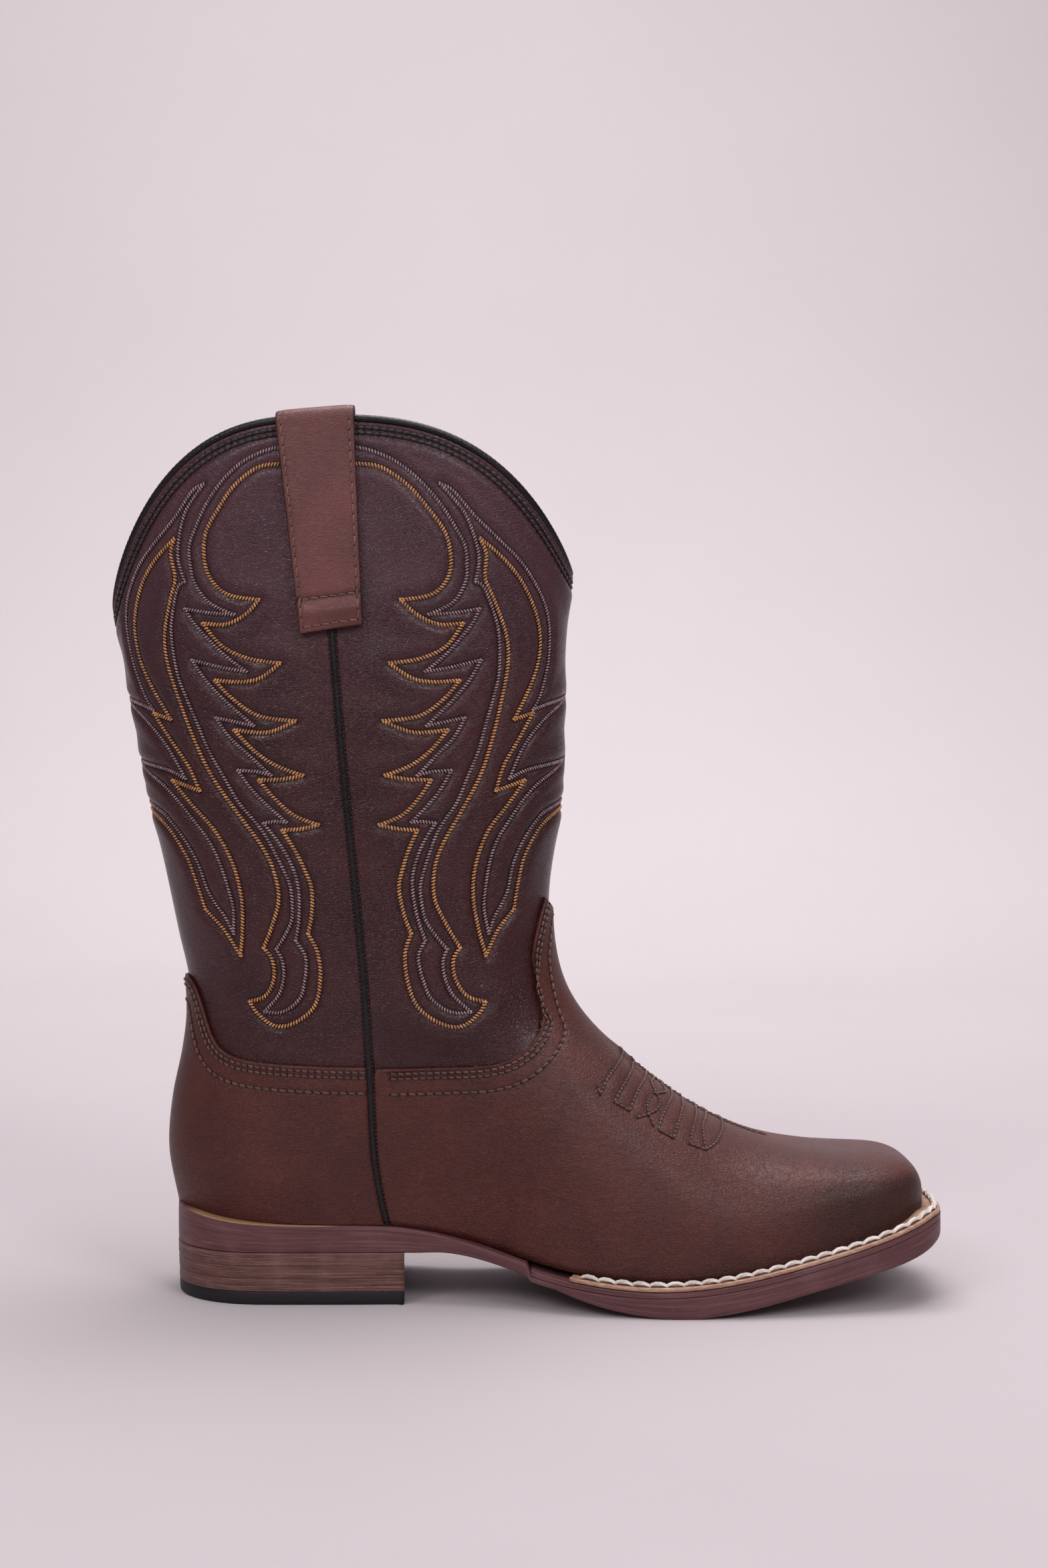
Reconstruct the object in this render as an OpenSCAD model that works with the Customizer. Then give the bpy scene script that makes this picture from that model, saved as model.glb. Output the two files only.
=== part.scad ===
// A pull-on western boot, right foot, built in layers as a shoemaker would last it.
// +X points to the toe, +Z up, and the wearer's outer (lateral) side faces -Y.
// The origin lies on the floor, under the middle of the boot's box.

/* [Leather] */
// Thickness of the vamp and heel counter leather
vamp_t = 1.4; // [1.0:0.1:1.6]
// Thickness of the shaft leather
shaft_t = 1.6; // [1.2:0.1:1.6]
// Thickness of the lining leather
lining_t = 0.9; // [0.6:0.1:1.0]
// Thickness of the toe and heel stiffeners
stiffener_t = 1.3; // [0.8:0.1:1.3]
// Radius of the cord in the side seams
seam_cord_r = 1.4; // [1.0:0.1:1.5]
// Radius of the bead along the top edge
top_bead_r = 1.6; // [1.2:0.1:1.6]

/* [Shaft] */
// Height of the top edge at its back dip
back_dip_z = 259; // [254:1:266]
// Height of the top edge at its front dip
front_dip_z = 274; // [266:1:280]
// Height of the top edge at the side seams
peak_z = 327.5; // [320:0.5:330]

/* [Pull straps] */
// Width of a strap at the crown
strap_w = 29; // [26:1:32]
// Width of a strap at its sewn lower end
strap_end_w = 23.5; // [20:0.5:26]
// Thickness of a strap
strap_t = 1.6; // [1.2:0.1:2.0]
// Height of the sewn end of the outer leg
strap_low_z = 251; // [245:1:260]

/* [Sole] */
// Thickness of the black rubber heel cap
cap_t = 5; // [4:0.5:6]
// Height of the outsole's underside over the heel
heel_z = 19.4; // [18:0.2:21]
// How far forward the heel reaches
breast_x = 89; // [84:1:92]
// Thickness of the welt
welt_t = 1.6; // [1.2:0.1:2.0]
// Thickness of the midsole
midsole_t = 2.0; // [1.6:0.1:2.4]
// Thickness of the insole board
board_t = 2.0; // [1.6:0.1:2.4]
// Thickness of the footbed
footbed_t = 4.0; // [3:0.5:4]

/* [Hidden] */
gap = 0.1;        // clearance left between flat glued layers
layer_gap = 0.45; // clearance left between curved layers
vamp_lift = 0.35; // more clearance where the vamp bends round the shaft
seam_gap = 2.0;   // half the width of the slot that the side cord fills
lateral = -1;
medial = 1;
origin_shift = [-133.6, 1.5, 0]; // from the back of the heel to the middle of the box
lifts = 3;        // leather lifts in the heel stack

// Side profile. The skin is the outer face of the shaft, and the vamp lies on it.
back_line = [[34, 1.5], [54, -2.2], [73, -1], [92, 2.8], [106, 4.4], [120, 3.6], [136, 0],
             [161, -5.3], [197, -13.2], [244, -22], [270, -27], [335, -36]];
front_line = [[32, 128], [46, 131], [65, 156], [83, 177], [94, 165], [104, 155.6], [114, 149.3],
              [125, 145.4], [140, 143.3], [156, 143.6], [182, 147.3], [208, 148.8],
              [244, 149.6], [268, 151.5], [335, 158]];
ridge_line = [[80, 165], [120, 140], [140, 122], [154, 106], [163, 96.4], [173, 86], [187, 75.9],
              [201, 66.4], [217, 59.5], [232, 55.7], [252, 53.4], [288, 52.4]];
feather_line = [[0, 34], [20, 31], [42, 29.5], [82, 28.8], [97, 26.7], [113, 23], [134, 17.2],
                [152, 13.6], [175, 11.4], [196, 12], [217, 15], [239, 19.7], [256, 23.8],
                [270, 28], [287, 34]];
tread_line = [[94, 19.4], [104, 19.6], [114, 18.3], [124, 16], [134, 13], [145, 8.8], [155, 5.4],
              [166, 2.6], [180, 0.5], [190, 0], [200, 0.5], [217, 3.2], [238, 8], [260, 13.2],
              [274, 17], [284, 20.6], [293, 25]];
seam_line = [[29, 82.5], [40, 80], [56, 77.6], [88, 76], [117, 74.4], [163, 70.3], [201, 66.6],
             [237, 63.7], [335, 56]];

// Half widths: of the leg by height, of the foot and of the sole by distance from the heel.
leg_width = [[30, 33.5], [45, 35.5], [65, 37], [90, 38.5], [120, 39], [160, 40.5], [200, 42],
             [250, 43.5], [335, 43]];
foot_lateral = [[40, 33], [80, 31], [97, 31.5], [113, 33], [134, 39], [155, 46], [180, 50],
                [200, 50.5], [217, 49], [238, 45], [256, 40.5], [270, 38], [286, 36]];
foot_medial = [[40, 33], [80, 30], [97, 27], [113, 25.5], [134, 28], [155, 36], [180, 44],
               [200, 47.5], [217, 48.5], [238, 46], [256, 42], [270, 39.5], [286, 38]];
sole_lateral = [[38, 36], [60, 36], [89, 35.5], [100, 35.8], [113, 38], [134, 45], [155, 53],
                [180, 57.5], [200, 58], [217, 56.5], [238, 52.5], [260, 47], [275, 44], [293, 42]];
sole_medial = [[38, 36], [60, 36], [89, 34], [100, 31], [113, 29], [134, 32], [155, 41.5],
               [180, 50], [200, 54], [217, 55], [238, 53], [260, 49], [275, 46.5], [293, 44]];
foot_toe_x = 286;
sole_toe_x = 292.5;
toe_lip_x = 287;  // past here the top of the sole runs level
midsole_x = 134;  // where the outsole steps down to take the midsole
heel_round = 38;  // length of the round back of the heel

// Back edges of the foot leathers above the side seam, as [x, z] on the side view, up to the
// middle of the front.
collar_path = [[78, 88.5], [91, 88.5], [104, 88.6], [119, 89], [129, 91.6], [135.8, 97], [139.6, 104.5],
               [139.8, 113], [137, 121.5], [135.3, 130], [136.8, 138.5], [139, 147], [142.8, 157.5]];
lining_path = [[78.5, 77.5], [92, 77.5], [106, 77.5], [120, 77.5], [134, 77.5], [145, 78.5], [153, 82],
               [155.5, 88], [154, 94], [150.5, 101], [147.8, 108], [147.2, 112], [148.9, 115]];
seam_foot_z = 29.1; // where the side seam meets the sole
seam_foot_x = curve(seam_line, seam_foot_z) + seam_gap;

function ease(t) = let (c = max(0, min(1, t))) c * c * (3 - 2 * c);
function mix(a, b, t) = a + (b - a) * t;
function unit(v) = v / norm(v);

// A smooth curve through [x, y] knots, straight beyond its ends.
function slope(p, i) = let (a = max(i - 1, 0), b = min(i + 1, len(p) - 1))
  (p[b][1] - p[a][1]) / (p[b][0] - p[a][0]);
function span(p, x) = max([0, for (i = [0 : len(p) - 2]) if (p[i][0] <= x) i]);
function hermite(a, b, ma, mb, h, t) =
  a * (1 + 2 * t) * (1 - t) * (1 - t) + b * t * t * (3 - 2 * t)
  + h * (ma * t * (1 - t) * (1 - t) - mb * t * t * (1 - t));
function curve(p, x) = let (i = span(p, x), h = p[i + 1][0] - p[i][0], t = (x - p[i][0]) / h)
  t < 0 ? p[i][1] + slope(p, i) * (x - p[i][0])
  : t > 1 ? p[i + 1][1] + slope(p, i + 1) * (x - p[i + 1][0])
  : hermite(p[i][1], p[i + 1][1], slope(p, i), slope(p, i + 1), h, t);

// A smooth path through points, with t from 0 to 1 along it.
function path(p, t) = let (n = len(p) - 1, i = min(floor(t * n), n - 1), f = t * n - i,
    ma = (p[i + 1] - p[max(i - 1, 0)]) / 2, mb = (p[min(i + 2, n)] - p[i]) / 2)
  hermite(p[i], p[i + 1], ma, mb, 1, f);

// Rounds a half width or a height off to nothing at the end of a run.
function round_off(x, start, end, power) = let (t = (x - start) / (end - start))
  t <= 0 ? 1 : t >= 1 ? 0 : pow(1 - pow(t, power), 1 / power);

function feather(x) = curve(feather_line, x);
function ridge(x) = feather(x) + (curve(ridge_line, x) - feather(x)) * round_off(x, 260, foot_toe_x, 3.4);
function foot_w(x, side) = curve(side == lateral ? foot_lateral : foot_medial, x)
  * round_off(x, 248, foot_toe_x, 3.4);
function leg_h(x, z) = let (b = curve(back_line, z), f = curve(front_line, z),
    u = abs(2 * x - b - f) / (f - b), p = 2 + 0.4 * ease((110 - z) / 60))
  u >= 1 ? 0 : curve(leg_width, z) * sqrt(1 - pow(u, p));
function foot_h(x, z, side) = let (t = (z - feather(x)) / (ridge(x) - feather(x)))
  t >= 1 ? 0 : foot_w(x, side) * pow(1 - pow(max(t, 0), 2.4), 1 / 2.2);

// Half width of the skin at a point of the side view.
function skin_h(x, z, side) = let (foot = ease((x - 50) / 90) * ease((110 - z) / 30))
  foot <= 0 ? leg_h(x, z)
  : foot >= 1 ? foot_h(x, z, side)
  : mix(leg_h(x, z), foot_h(x, z, side), foot);
function skin_normal(x, z, side, y) = let (e = 0.4,
    hx = (skin_h(x + e, z, side) - skin_h(x - e, z, side)) / (2 * e),
    hz = (skin_h(x, z + e, side) - skin_h(x, z - e, side)) / (2 * e))
  unit([-hx, y < 0.05 ? 0 : side, -hz]);

// A point raised off the skin. y is the half width there.
function raised(x, z, side, y, off) = [x, side * y, z] + off * skin_normal(x, z, side, y);
function on_skin(q, side, off) = raised(q[0], q[1], side, skin_h(q[0], q[1], side), off);

// Rings of the foot run from the feather edge up to the ridge, in wrap_rows steps. s is 0 at the
// toe tip, 1 at the instep and 2 at the back edge, whose shape the last rings take on.
wrap_rows = 16;
corner_row = 3;   // the row of the back edge at the top of the side seam
toe_share = 0.3;
fore_share = 0.7;
throat_x = 172;
instep_x = 128;
instep_z = 112;
function row_t(j) = mix(0.018, 1, pow(sin(90 * j / wrap_rows), 0.84));
function ring_foot_x(s) = s < toe_share
  ? mix(foot_toe_x, 248, 1 - pow(sin(90 * (1 - s / toe_share)), 0.6))
  : s < fore_share ? mix(248, throat_x, (s - toe_share) / (fore_share - toe_share))
  : s < 1 ? mix(throat_x, instep_x, (s - fore_share) / (1 - fore_share))
  : mix(instep_x, seam_foot_x, s - 1);
function ring_top(s, back_path) = let (x = ring_foot_x(s), last = back_path[len(back_path) - 1])
  s < fore_share ? [x, ridge(x)]
  : let (z = s < 1 ? mix(ridge(throat_x), instep_z, (s - fore_share) / (1 - fore_share))
      : mix(instep_z, last[1], s - 1)) [curve(front_line, z), z];
function back_edge(j, back_path) = let (z = mix(seam_foot_z, back_path[0][1], j / corner_row))
  j <= corner_row ? [curve(seam_line, z) + seam_gap, z]
  : j == wrap_rows ? ring_top(2, back_path)
  : path(back_path, sin(90 * (j - corner_row) / (wrap_rows - corner_row)));
function ring_at(s, j, back_path) = let (x = ring_foot_x(s), foot = [x, feather(x)], t = row_t(j),
    line = mix(foot, ring_top(s, back_path), t),
    bow = back_edge(j, back_path) - mix(back_edge(0, back_path), back_edge(wrap_rows, back_path), t))
  line + max(0, s - 1) * bow;
function ring_point(s, j, side, off, back_path) = let (q = ring_at(s, j, back_path),
    top = ring_top(s, back_path),
    h = skin_h(q[0], q[1], side) - skin_h(top[0], top[1], side) * pow(row_t(j), 6))
  raised(q[0], q[1], side, j == wrap_rows ? 0 : max(0, h), off);

// Bands round the back or the front of the leg. k runs from 0 at the centre to 1 at the seam.
function sweep(k) = 1 - cos(90 * k);
function band_x(k, z, front) = front
  ? mix(curve(front_line, z), curve(seam_line, z) + seam_gap, sweep(k))
  : mix(curve(back_line, z), curve(seam_line, z) - seam_gap, sweep(k));
function band_point(k, z, side, front, off) = on_skin([band_x(k, z, front), z], side, off);
function top_z(k, front) = let (u = front ? 1 - 1.05 * sweep(k) : 1 - 0.95 * sweep(k))
  peak_z - (peak_z - (front ? front_dip_z : back_dip_z)) * pow(abs(u), 2.75);
function heel_collar_z(k) = 88.7 + 1.6 * (1 - k) + 30.4 / (1 + pow(k / 0.33, 6));
function shaft_low_z(k, front) = front ? 79 + 40 / (1 + pow(k / 0.35, 6)) : heel_collar_z(k) - 9;
// Columns from the lateral seam over the centre to the medial seam.
function columns(n) = [for (i = [-n : n]) [abs(i) / n, i < 0 ? lateral : medial]];
// Rows lie closer together at the foot, where the leg bends most.
function band(low, high, rows, n, front, off) = [for (i = [0 : rows]) [for (c = columns(n))
  band_point(c[0], mix(low[abs(c[0]) * n], high[abs(c[0]) * n], pow(i / rows, 1.5)), c[1], front, off)]];

// A face of four corners as two triangles, so that neighbouring layers bend along the same lines.
function halves(q) = [[q[0], q[1], q[2]], [q[0], q[2], q[3]]];
function back_halves(q) = [[q[2], q[1], q[0]], [q[3], q[2], q[0]]];

// Closed solid between two grids of points. The first grid faces out where its rows go up and
// its columns run from left to right.
module shell(outer, inner) {
  r = len(outer);
  c = len(outer[0]);
  n = r * c;
  points = [for (g = [outer, inner], row = g, p = row) p];
  faces = [
    for (i = [0 : r - 2], j = [0 : c - 2]) each let (a = i * c + j, b = a + 1, d = a + c, e = d + 1)
      concat(halves([d, e, b, a]), back_halves([n + d, n + e, n + b, n + a])),
    for (i = [0 : r - 2]) each let (a = i * c, d = a + c, b = a + c - 1, e = b + c)
      [[n + a, n + d, d, a], [n + e, n + b, b, e]],
    for (j = [0 : c - 2]) each let (a = j, b = j + 1, d = (r - 1) * c + j, e = d + 1)
      [[n + b, n + a, a, b], [n + d, n + e, e, d]]
  ];
  polyhedron(points, faces, convexity = 6);
}

// A loft through rings that all have the same number of points.
module loft(rings) {
  r = len(rings);
  c = len(rings[0]);
  points = [for (ring = rings, p = ring) p];
  faces = concat(
    [for (i = [0 : r - 2], j = [0 : c - 1]) let (k = (j + 1) % c)
      [i * c + j, i * c + k, (i + 1) * c + k, (i + 1) * c + j]],
    [[for (j = [c - 1 : -1 : 0]) j]],
    [[for (j = [0 : c - 1]) (r - 1) * c + j]]);
  polyhedron(points, faces, convexity = 6);
}

// A round cord along points, each given as [centre, side vector].
module cord(stations, radius, sides) {
  n = len(stations) - 1;
  loft([for (i = [0 : n]) let (
      along = unit(stations[min(i + 1, n)][0] - stations[max(i - 1, 0)][0]),
      across = unit(stations[i][1] - along * (along * stations[i][1])),
      up = cross(along, across))
    [for (a = [0 : sides - 1]) stations[i][0]
      + radius * (cos(360 * a / sides) * across - sin(360 * a / sides) * up)]]);
}

// Closed leather over the foot between two offsets from the skin, raised by lift over the ankle.
module wrap(rings, back_path, off_out, off_in, lift = 0) {
  m = wrap_rows + 1;
  last = len(rings) - 1;
  sheet = len(rings) * m;
  points = [for (off = [off_out, off_in], side = [lateral, medial], s = rings, j = [0 : wrap_rows])
    ring_point(s, j, side, off + lift * ease(s), back_path)];
  // Index of a point. The two halves share their points along the ridge.
  function id(layer, half, i, j) = 2 * sheet * layer + (j == wrap_rows ? 0 : sheet * half) + i * m + j;
  function turned(face, turn) = turn ? [for (k = [len(face) - 1 : -1 : 0]) face[k]] : face;
  faces = [
    for (l = [0, 1], h = [0, 1], i = [0 : last - 1], j = [0 : wrap_rows - 1])
      each let (q = [id(l, h, i + 1, j + 1), id(l, h, i, j + 1), id(l, h, i, j), id(l, h, i + 1, j)])
        l == h ? halves(q) : back_halves(q),
    for (h = [0, 1], i = [0 : last - 1])
      turned([id(0, h, i + 1, 0), id(0, h, i, 0), id(1, h, i, 0), id(1, h, i + 1, 0)], h == 1),
    for (h = [0, 1], j = [0 : wrap_rows - 1])
      turned([id(0, h, last, j + 1), id(0, h, last, j), id(1, h, last, j), id(1, h, last, j + 1)], h == 1),
    for (l = [0, 1], j = [0 : wrap_rows - 2])
      turned([id(l, 0, 0, j), id(l, 0, 0, j + 1), id(l, 1, 0, j + 1), id(l, 1, 0, j)], l == 1),
    for (l = [0, 1]) let (j = wrap_rows - 1)
      turned([id(l, 0, 0, j), id(l, 0, 0, j + 1), id(l, 1, 0, j)], l == 1),
    [id(0, 0, 0, 0), id(0, 1, 0, 0), id(1, 1, 0, 0), id(1, 0, 0, 0)]
  ];
  polyhedron(points, faces, convexity = 8);
}

function even(a, b, n) = [for (i = [0 : n]) mix(a, b, i / n)];
function foot_rings(start, end, n) = concat([for (i = [0 : 5]) mix(start, toe_share, i / 6)],
  even(toe_share, end, n));

module vamp() {
  color("#4a2a22") wrap(foot_rings(0.02, 2, 26), collar_path, layer_gap + vamp_t, layer_gap, vamp_lift);
}

module heel_counter() {
  n = 11;
  low = feather_low(n, false, 0.7);
  high = [for (i = [0 : n]) heel_collar_z(i / n)];
  color("#4a2a22")
    shell(band(low, high, 8, n, false, layer_gap), band(low, high, 8, n, false, layer_gap + vamp_t));
}

function shaft_low(n, front) = [for (i = [0 : n]) shaft_low_z(i / n, front)];
function feather_low(n, front, lift) = [for (i = [0 : n]) feather(band_x(i / n, 30, front)) + lift];
module shaft_layer(front, low, off_out, off_in) {
  n = len(low) - 1;
  high = [for (i = [0 : n]) top_z(i / n, front)];
  outer = band(low, high, 15, n, front, off_out);
  inner = band(low, high, 15, n, front, off_in);
  shell(front ? outer : inner, front ? inner : outer);
}

module front_shaft_panel() {
  color("#2e1a1b") shaft_layer(true, shaft_low(11, true), 0, -shaft_t);
}

module back_shaft_panel() {
  color("#2e1a1b") shaft_layer(false, shaft_low(11, false), 0, -shaft_t);
}

lining_off = -shaft_t - layer_gap;
module front_shaft_lining() {
  color("#8a6a4c")
    shaft_layer(true, shaft_low(11, true), lining_off, lining_off - lining_t);
}

// The back lining runs down behind the heel stiffener to the insole.
module back_shaft_lining() {
  color("#8a6a4c")
    shaft_layer(false, feather_low(11, false, 0.5), lining_off, lining_off - lining_t);
}

// Lines the foot up to the shaft lining's lower edge.
module vamp_lining() {
  color("#9a7a58")
    wrap(foot_rings(0.06, 2, 16), lining_path, lining_off, lining_off - lining_t);
}

module toe_puff() {
  color("#d8cfae")
    wrap(foot_rings(0.06, 0.42, 2), lining_path, -gap, -gap - stiffener_t);
}

module heel_stiffener() {
  n = 11;
  low = feather_low(n, false, 1);
  high = [for (i = [0 : n]) min(shaft_low_z(i / n, false) - 2, 82)];
  color("#d8cfae")
    shell(band(low, high, 5, n, false, -gap - stiffener_t), band(low, high, 5, n, false, -gap));
}

// Centre of the side cord at a height, raised where it crosses the thicker foot leather.
function seam_point(z, side) = on_skin([curve(seam_line, z), z], side, 0.3 + 0.9 * ease((94 - z) / 8));
module seam_piping(side) {
  low = 30.5;
  high = peak_z + 2;
  color("#141011")
    cord([for (i = [0 : 26]) [seam_point(mix(low, high, i / 26), side), [0, side, 0]]], seam_cord_r, 8);
}

// The bead lies along the middle of the top edge. q runs from -1 at the lateral seam to 1 at the
// medial seam, and off is the distance from the skin.
function top_edge(q, front, off) = let (k = min(1, abs(q)), z = top_z(k, front))
  on_skin([band_x(k, z, front), z], q < 0 ? lateral : medial, off);
function bead_station(q, front) = let (
    mid = top_edge(q, front, -(shaft_t + layer_gap + lining_t) / 2),
    out = unit(top_edge(q, front, 0) - mid),
    along = unit(top_edge(q + 0.02, front, 0) - top_edge(q - 0.02, front, 0)),
    up = unit(cross(out, along)))
  [mid + (top_bead_r + layer_gap) * (up[2] < 0 ? -up : up), out];
module top_bead(front) {
  n = 11;
  color("#1a1213") cord([for (i = [-n : n]) bead_station(i / n, front)], top_bead_r, 8);
}

// A strap is a loop over the top edge: up the outside, over the crown and down the lining.
strap_off = 2.0;
crown_r = 2.8;
crown_z = peak_z + 1.3;
strap_tilt = 0.15;  // slope of the sewn end
function strap_station(i) = // [offset from the skin, height] of the loop's inner face
  i <= 8 ? [strap_off, mix(strap_low_z, crown_z, i / 8)]
  : i <= 14 ? [strap_off - crown_r * (1 - cos(30 * (i - 8))), crown_z + crown_r * sin(30 * (i - 8))]
  : [strap_off - 2 * crown_r, mix(crown_z, strap_low_z + 10, (i - 14) / 8)];
function strap_out(i) = // direction from the inner to the outer face
  i <= 8 ? [1, 0] : i <= 14 ? [cos(30 * (i - 8)), sin(30 * (i - 8))] : [-1, 0];
function strap_point(i, j, side, thick) = let (
    q = strap_station(i) + thick * strap_out(i),
    rise = min(1, (q[1] - strap_low_z) / (crown_z - strap_low_z)),
    across = mix(strap_end_w, strap_w, rise) * j / 2,
    z = min(q[1], crown_z) + strap_tilt * across * (1 - rise),
    x = curve(seam_line, z) + across)
  [x, side * (skin_h(x, z, side) + q[0]), max(z, q[1])];
module pull_strap(side) {
  rows = [0 : 22];
  cols = side == lateral ? [-1, -0.5, 0, 0.5, 1] : [1, 0.5, 0, -0.5, -1];
  color("#4d2c24")
    shell([for (i = rows) [for (j = cols) strap_point(i, j, side, strap_t)]],
      [for (i = rows) [for (j = cols) strap_point(i, j, side, 0)]]);
}

// A slab of the sole: at each x a rectangle between two half widths and two heights.
function stations(a, b, n) = [for (i = [0 : n]) mix(a, b, (1 - cos(180 * i / n)) / 2)];
function sole_w(x, side) = curve(side == lateral ? sole_lateral : sole_medial, x)
  * round_off(x, 258, sole_toe_x, 3.2) * round_off(heel_round - x, 0, heel_round, 2.2);
function tread(x) = x < 94 ? heel_z : curve(tread_line, x);
module slab(sections) { // each section is [x, lateral half width, medial half width, low z, high z]
  loft([for (s = sections)
    [[s[0], -s[1], s[3]], [s[0], -s[1], s[4]], [s[0], s[2], s[4]], [s[0], s[2], s[3]]]]);
}

// Half width inside the lining, at the height of the insole.
function inner_w(x, side) = skin_h(x, feather(x) + 5, side) + lining_off - lining_t - 1.4;
module inner_slab(a, b, n, low, high, trim) {
  slab([for (x = stations(a, b, n)) [x, max(1, inner_w(x, lateral) - trim),
    max(1, inner_w(x, medial) - trim), feather(x) + low, feather(x) + high]]);
}
board_low = 2;
board_high = board_low + board_t;

module footbed() {
  color("#c9a77a") inner_slab(9, 279, 26, board_high + gap, board_high + gap + footbed_t, 1.1);
}

module insole_board() {
  color("#b89468") inner_slab(9, 279, 26, board_low, board_high, 0.9);
}

// Spring steel under the arch, bowed like the waist.
shank_half_w = 7;
shank_t = 1;
shank_low = 0.2;
module shank() {
  color("silver")
    slab([for (x = even(34, 146, 14)) let (low = feather(x) + shank_low)
      [x, shank_half_w - 1, shank_half_w + 1, low, low + shank_t]]);
}

module shank_rivets() {
  color("silver")
    for (x = [42, 138])
      translate([x, 1, feather(x) + shank_low + shank_t + gap])
        rotate([0, atan2(feather(x - 2) - feather(x + 2), 4), 0]) cylinder(r = 2.2, h = 0.35, $fn = 32);
}

module cork_filler() {
  color("#a9835a") inner_slab(152, 272, 14, -welt_t, board_low - layer_gap, 3);
}

// Leather piece that fills the heel seat round the shank.
module heel_seat_pad() {
  color("#b89468") difference() {
    inner_slab(10, 86, 12, 0.3, board_low - layer_gap, 2);
    translate([30, 1 - shank_half_w - 1, 20]) cube([60, 2 * shank_half_w + 2, 20]);
  }
}

// The welt runs round the toe from the lateral to the medial waist. i counts from -n to n.
welt_start_x = 150;
welt_lap = 3;     // how far the welt reaches in under the upper
function welt_x(i, n) = mix(welt_start_x, sole_toe_x - 0.02, pow(sin(90 * (1 - abs(i) / n)), 0.7));
function welt_ring(i, n) = let (
    side = i < 0 ? lateral : medial,
    x = welt_x(i, n),
    outer_y = side * sole_w(x, side),
    outer_z = feather(min(x, toe_lip_x)),
    in_x = min(x, foot_toe_x - welt_lap),
    inner_y = side * max(0, min(foot_w(in_x, side) - welt_lap, sole_w(x, side) - welt_lap - 2)),
    inner_z = feather(in_x))
  [[x, outer_y, outer_z - welt_t], [x, outer_y, outer_z],
    [in_x, inner_y, inner_z], [in_x, inner_y, inner_z - welt_t]];
module welt() {
  n = 22;
  color("#b98a5e") loft([for (i = [-n : n]) if (i != 0) welt_ring(i, n)]);
}

// Underside of the welt, a little lower at the toe, where the welt dips inward.
function under_welt(x) = feather(min(x, toe_lip_x)) - welt_t - 2 * gap - 0.6 * ease((x - 268) / 14);
module midsole() {
  color("#5a3a35")
    slab([for (x = stations(midsole_x + 2, sole_toe_x - 0.05, 26)) let (
        top = under_welt(x))
      [x, max(0.8, sole_w(x, lateral)), max(0.8, sole_w(x, medial)), top - midsole_t, top]]);
}

// Runs from heel to toe, thin at the waist, with a step that takes the midsole.
module outsole() {
  top = function (x) let (f = feather(min(x, toe_lip_x)))
    x < midsole_x ? f - gap : under_welt(x) - midsole_t - gap;
  back = [for (i = [0 : 9]) heel_round * (1 - cos(9 * i)) + 0.05];
  mid = concat(even(46, 126, 10), [midsole_x - 0.1, midsole_x + 0.1], even(142, 190, 6), even(200, 258, 6));
  toe = [for (i = [1 : 9]) mix(258, sole_toe_x - 0.05, sin(10 * i))];
  color("#55332f")
    difference() {
      slab([for (x = concat(back, mid, toe))
        [x, max(0.8, sole_w(x, lateral)), max(0.8, sole_w(x, medial)), min(tread(x), top(x) - 2), top(x)]]);
      nail_holes();
    }
}

// Plan of the heel: round at the back, straight at the breast, a little smaller lower down.
function heel_side(x, side, taper) = [x + taper * (1 - x / breast_x), side * (sole_w(x, side) - taper)];
function heel_plan(taper) = let (
    xs = concat([for (i = [0 : 12]) heel_round * (1 - cos(7.5 * i)) + 0.1], [50, 62, 76, breast_x - taper]))
  concat([for (x = xs) heel_side(x, lateral, taper)],
    [for (i = [len(xs) - 1 : -1 : 0]) heel_side(xs[i], medial, taper)]);
nail_r = 1;
nail_spots = [[14, 0], [28, -20], [28, 20], [58, -22], [58, 22], [78, -12], [78, 12]];
nail_tip_z = heel_z + 3.5;
lift_t = (heel_z - cap_t) / lifts;

module nail_holes() {
  for (p = nail_spots)
    translate([p[0], p[1], 0]) cylinder(r = nail_r + 0.05, h = nail_tip_z + 0.5, $fn = 24);
}

module heel_lift(i) {
  taper = 0.5 * (lifts - 1 - i) / lifts;
  color("#5f4038") difference() {
    translate([0, 0, cap_t + i * lift_t]) linear_extrude(lift_t - 0.02) polygon(heel_plan(taper));
    nail_holes();
  }
}

module heel_cap() {
  color("#1c1c20") linear_extrude(cap_t - 0.02) polygon(heel_plan(0.5));
}

// Nails driven up from under the cap, through the lifts, into the outsole.
module heel_nails() {
  color("silver")
    for (p = nail_spots)
      translate([p[0], p[1], cap_t + 0.2]) cylinder(r = nail_r, h = nail_tip_z - cap_t - 0.2, $fn = 24);
}

module place() {
  translate(origin_shift) children();
}

place() vamp();
place() heel_counter();
place() front_shaft_panel();
place() back_shaft_panel();
place() front_shaft_lining();
place() back_shaft_lining();
place() vamp_lining();
place() toe_puff();
place() heel_stiffener();
place() seam_piping(lateral);  // lateral_seam_piping
place() seam_piping(medial);  // medial_seam_piping
place() top_bead(true);  // front_top_bead
place() top_bead(false);  // back_top_bead
place() pull_strap(lateral);  // lateral_pull_strap
place() pull_strap(medial);  // medial_pull_strap
place() footbed();
place() insole_board();
place() shank();
place() shank_rivets();
place() cork_filler();
place() heel_seat_pad();
place() welt();
place() midsole();
place() outsole();
place() heel_lift(2);  // heel_lift_upper
place() heel_lift(1);  // heel_lift_middle
place() heel_lift(0);  // heel_lift_lower
place() heel_cap();
place() heel_nails();
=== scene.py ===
"""A pull-on western boot for the right foot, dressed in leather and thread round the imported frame.

Shapes are worked out in millimetres in the boot's own frame: x from the back of the heel towards
the toe, y from the middle plane towards the wearer's inner side, z up from the floor. Each piece
is moved into the row frame, in metres, as it is made.
"""

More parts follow.
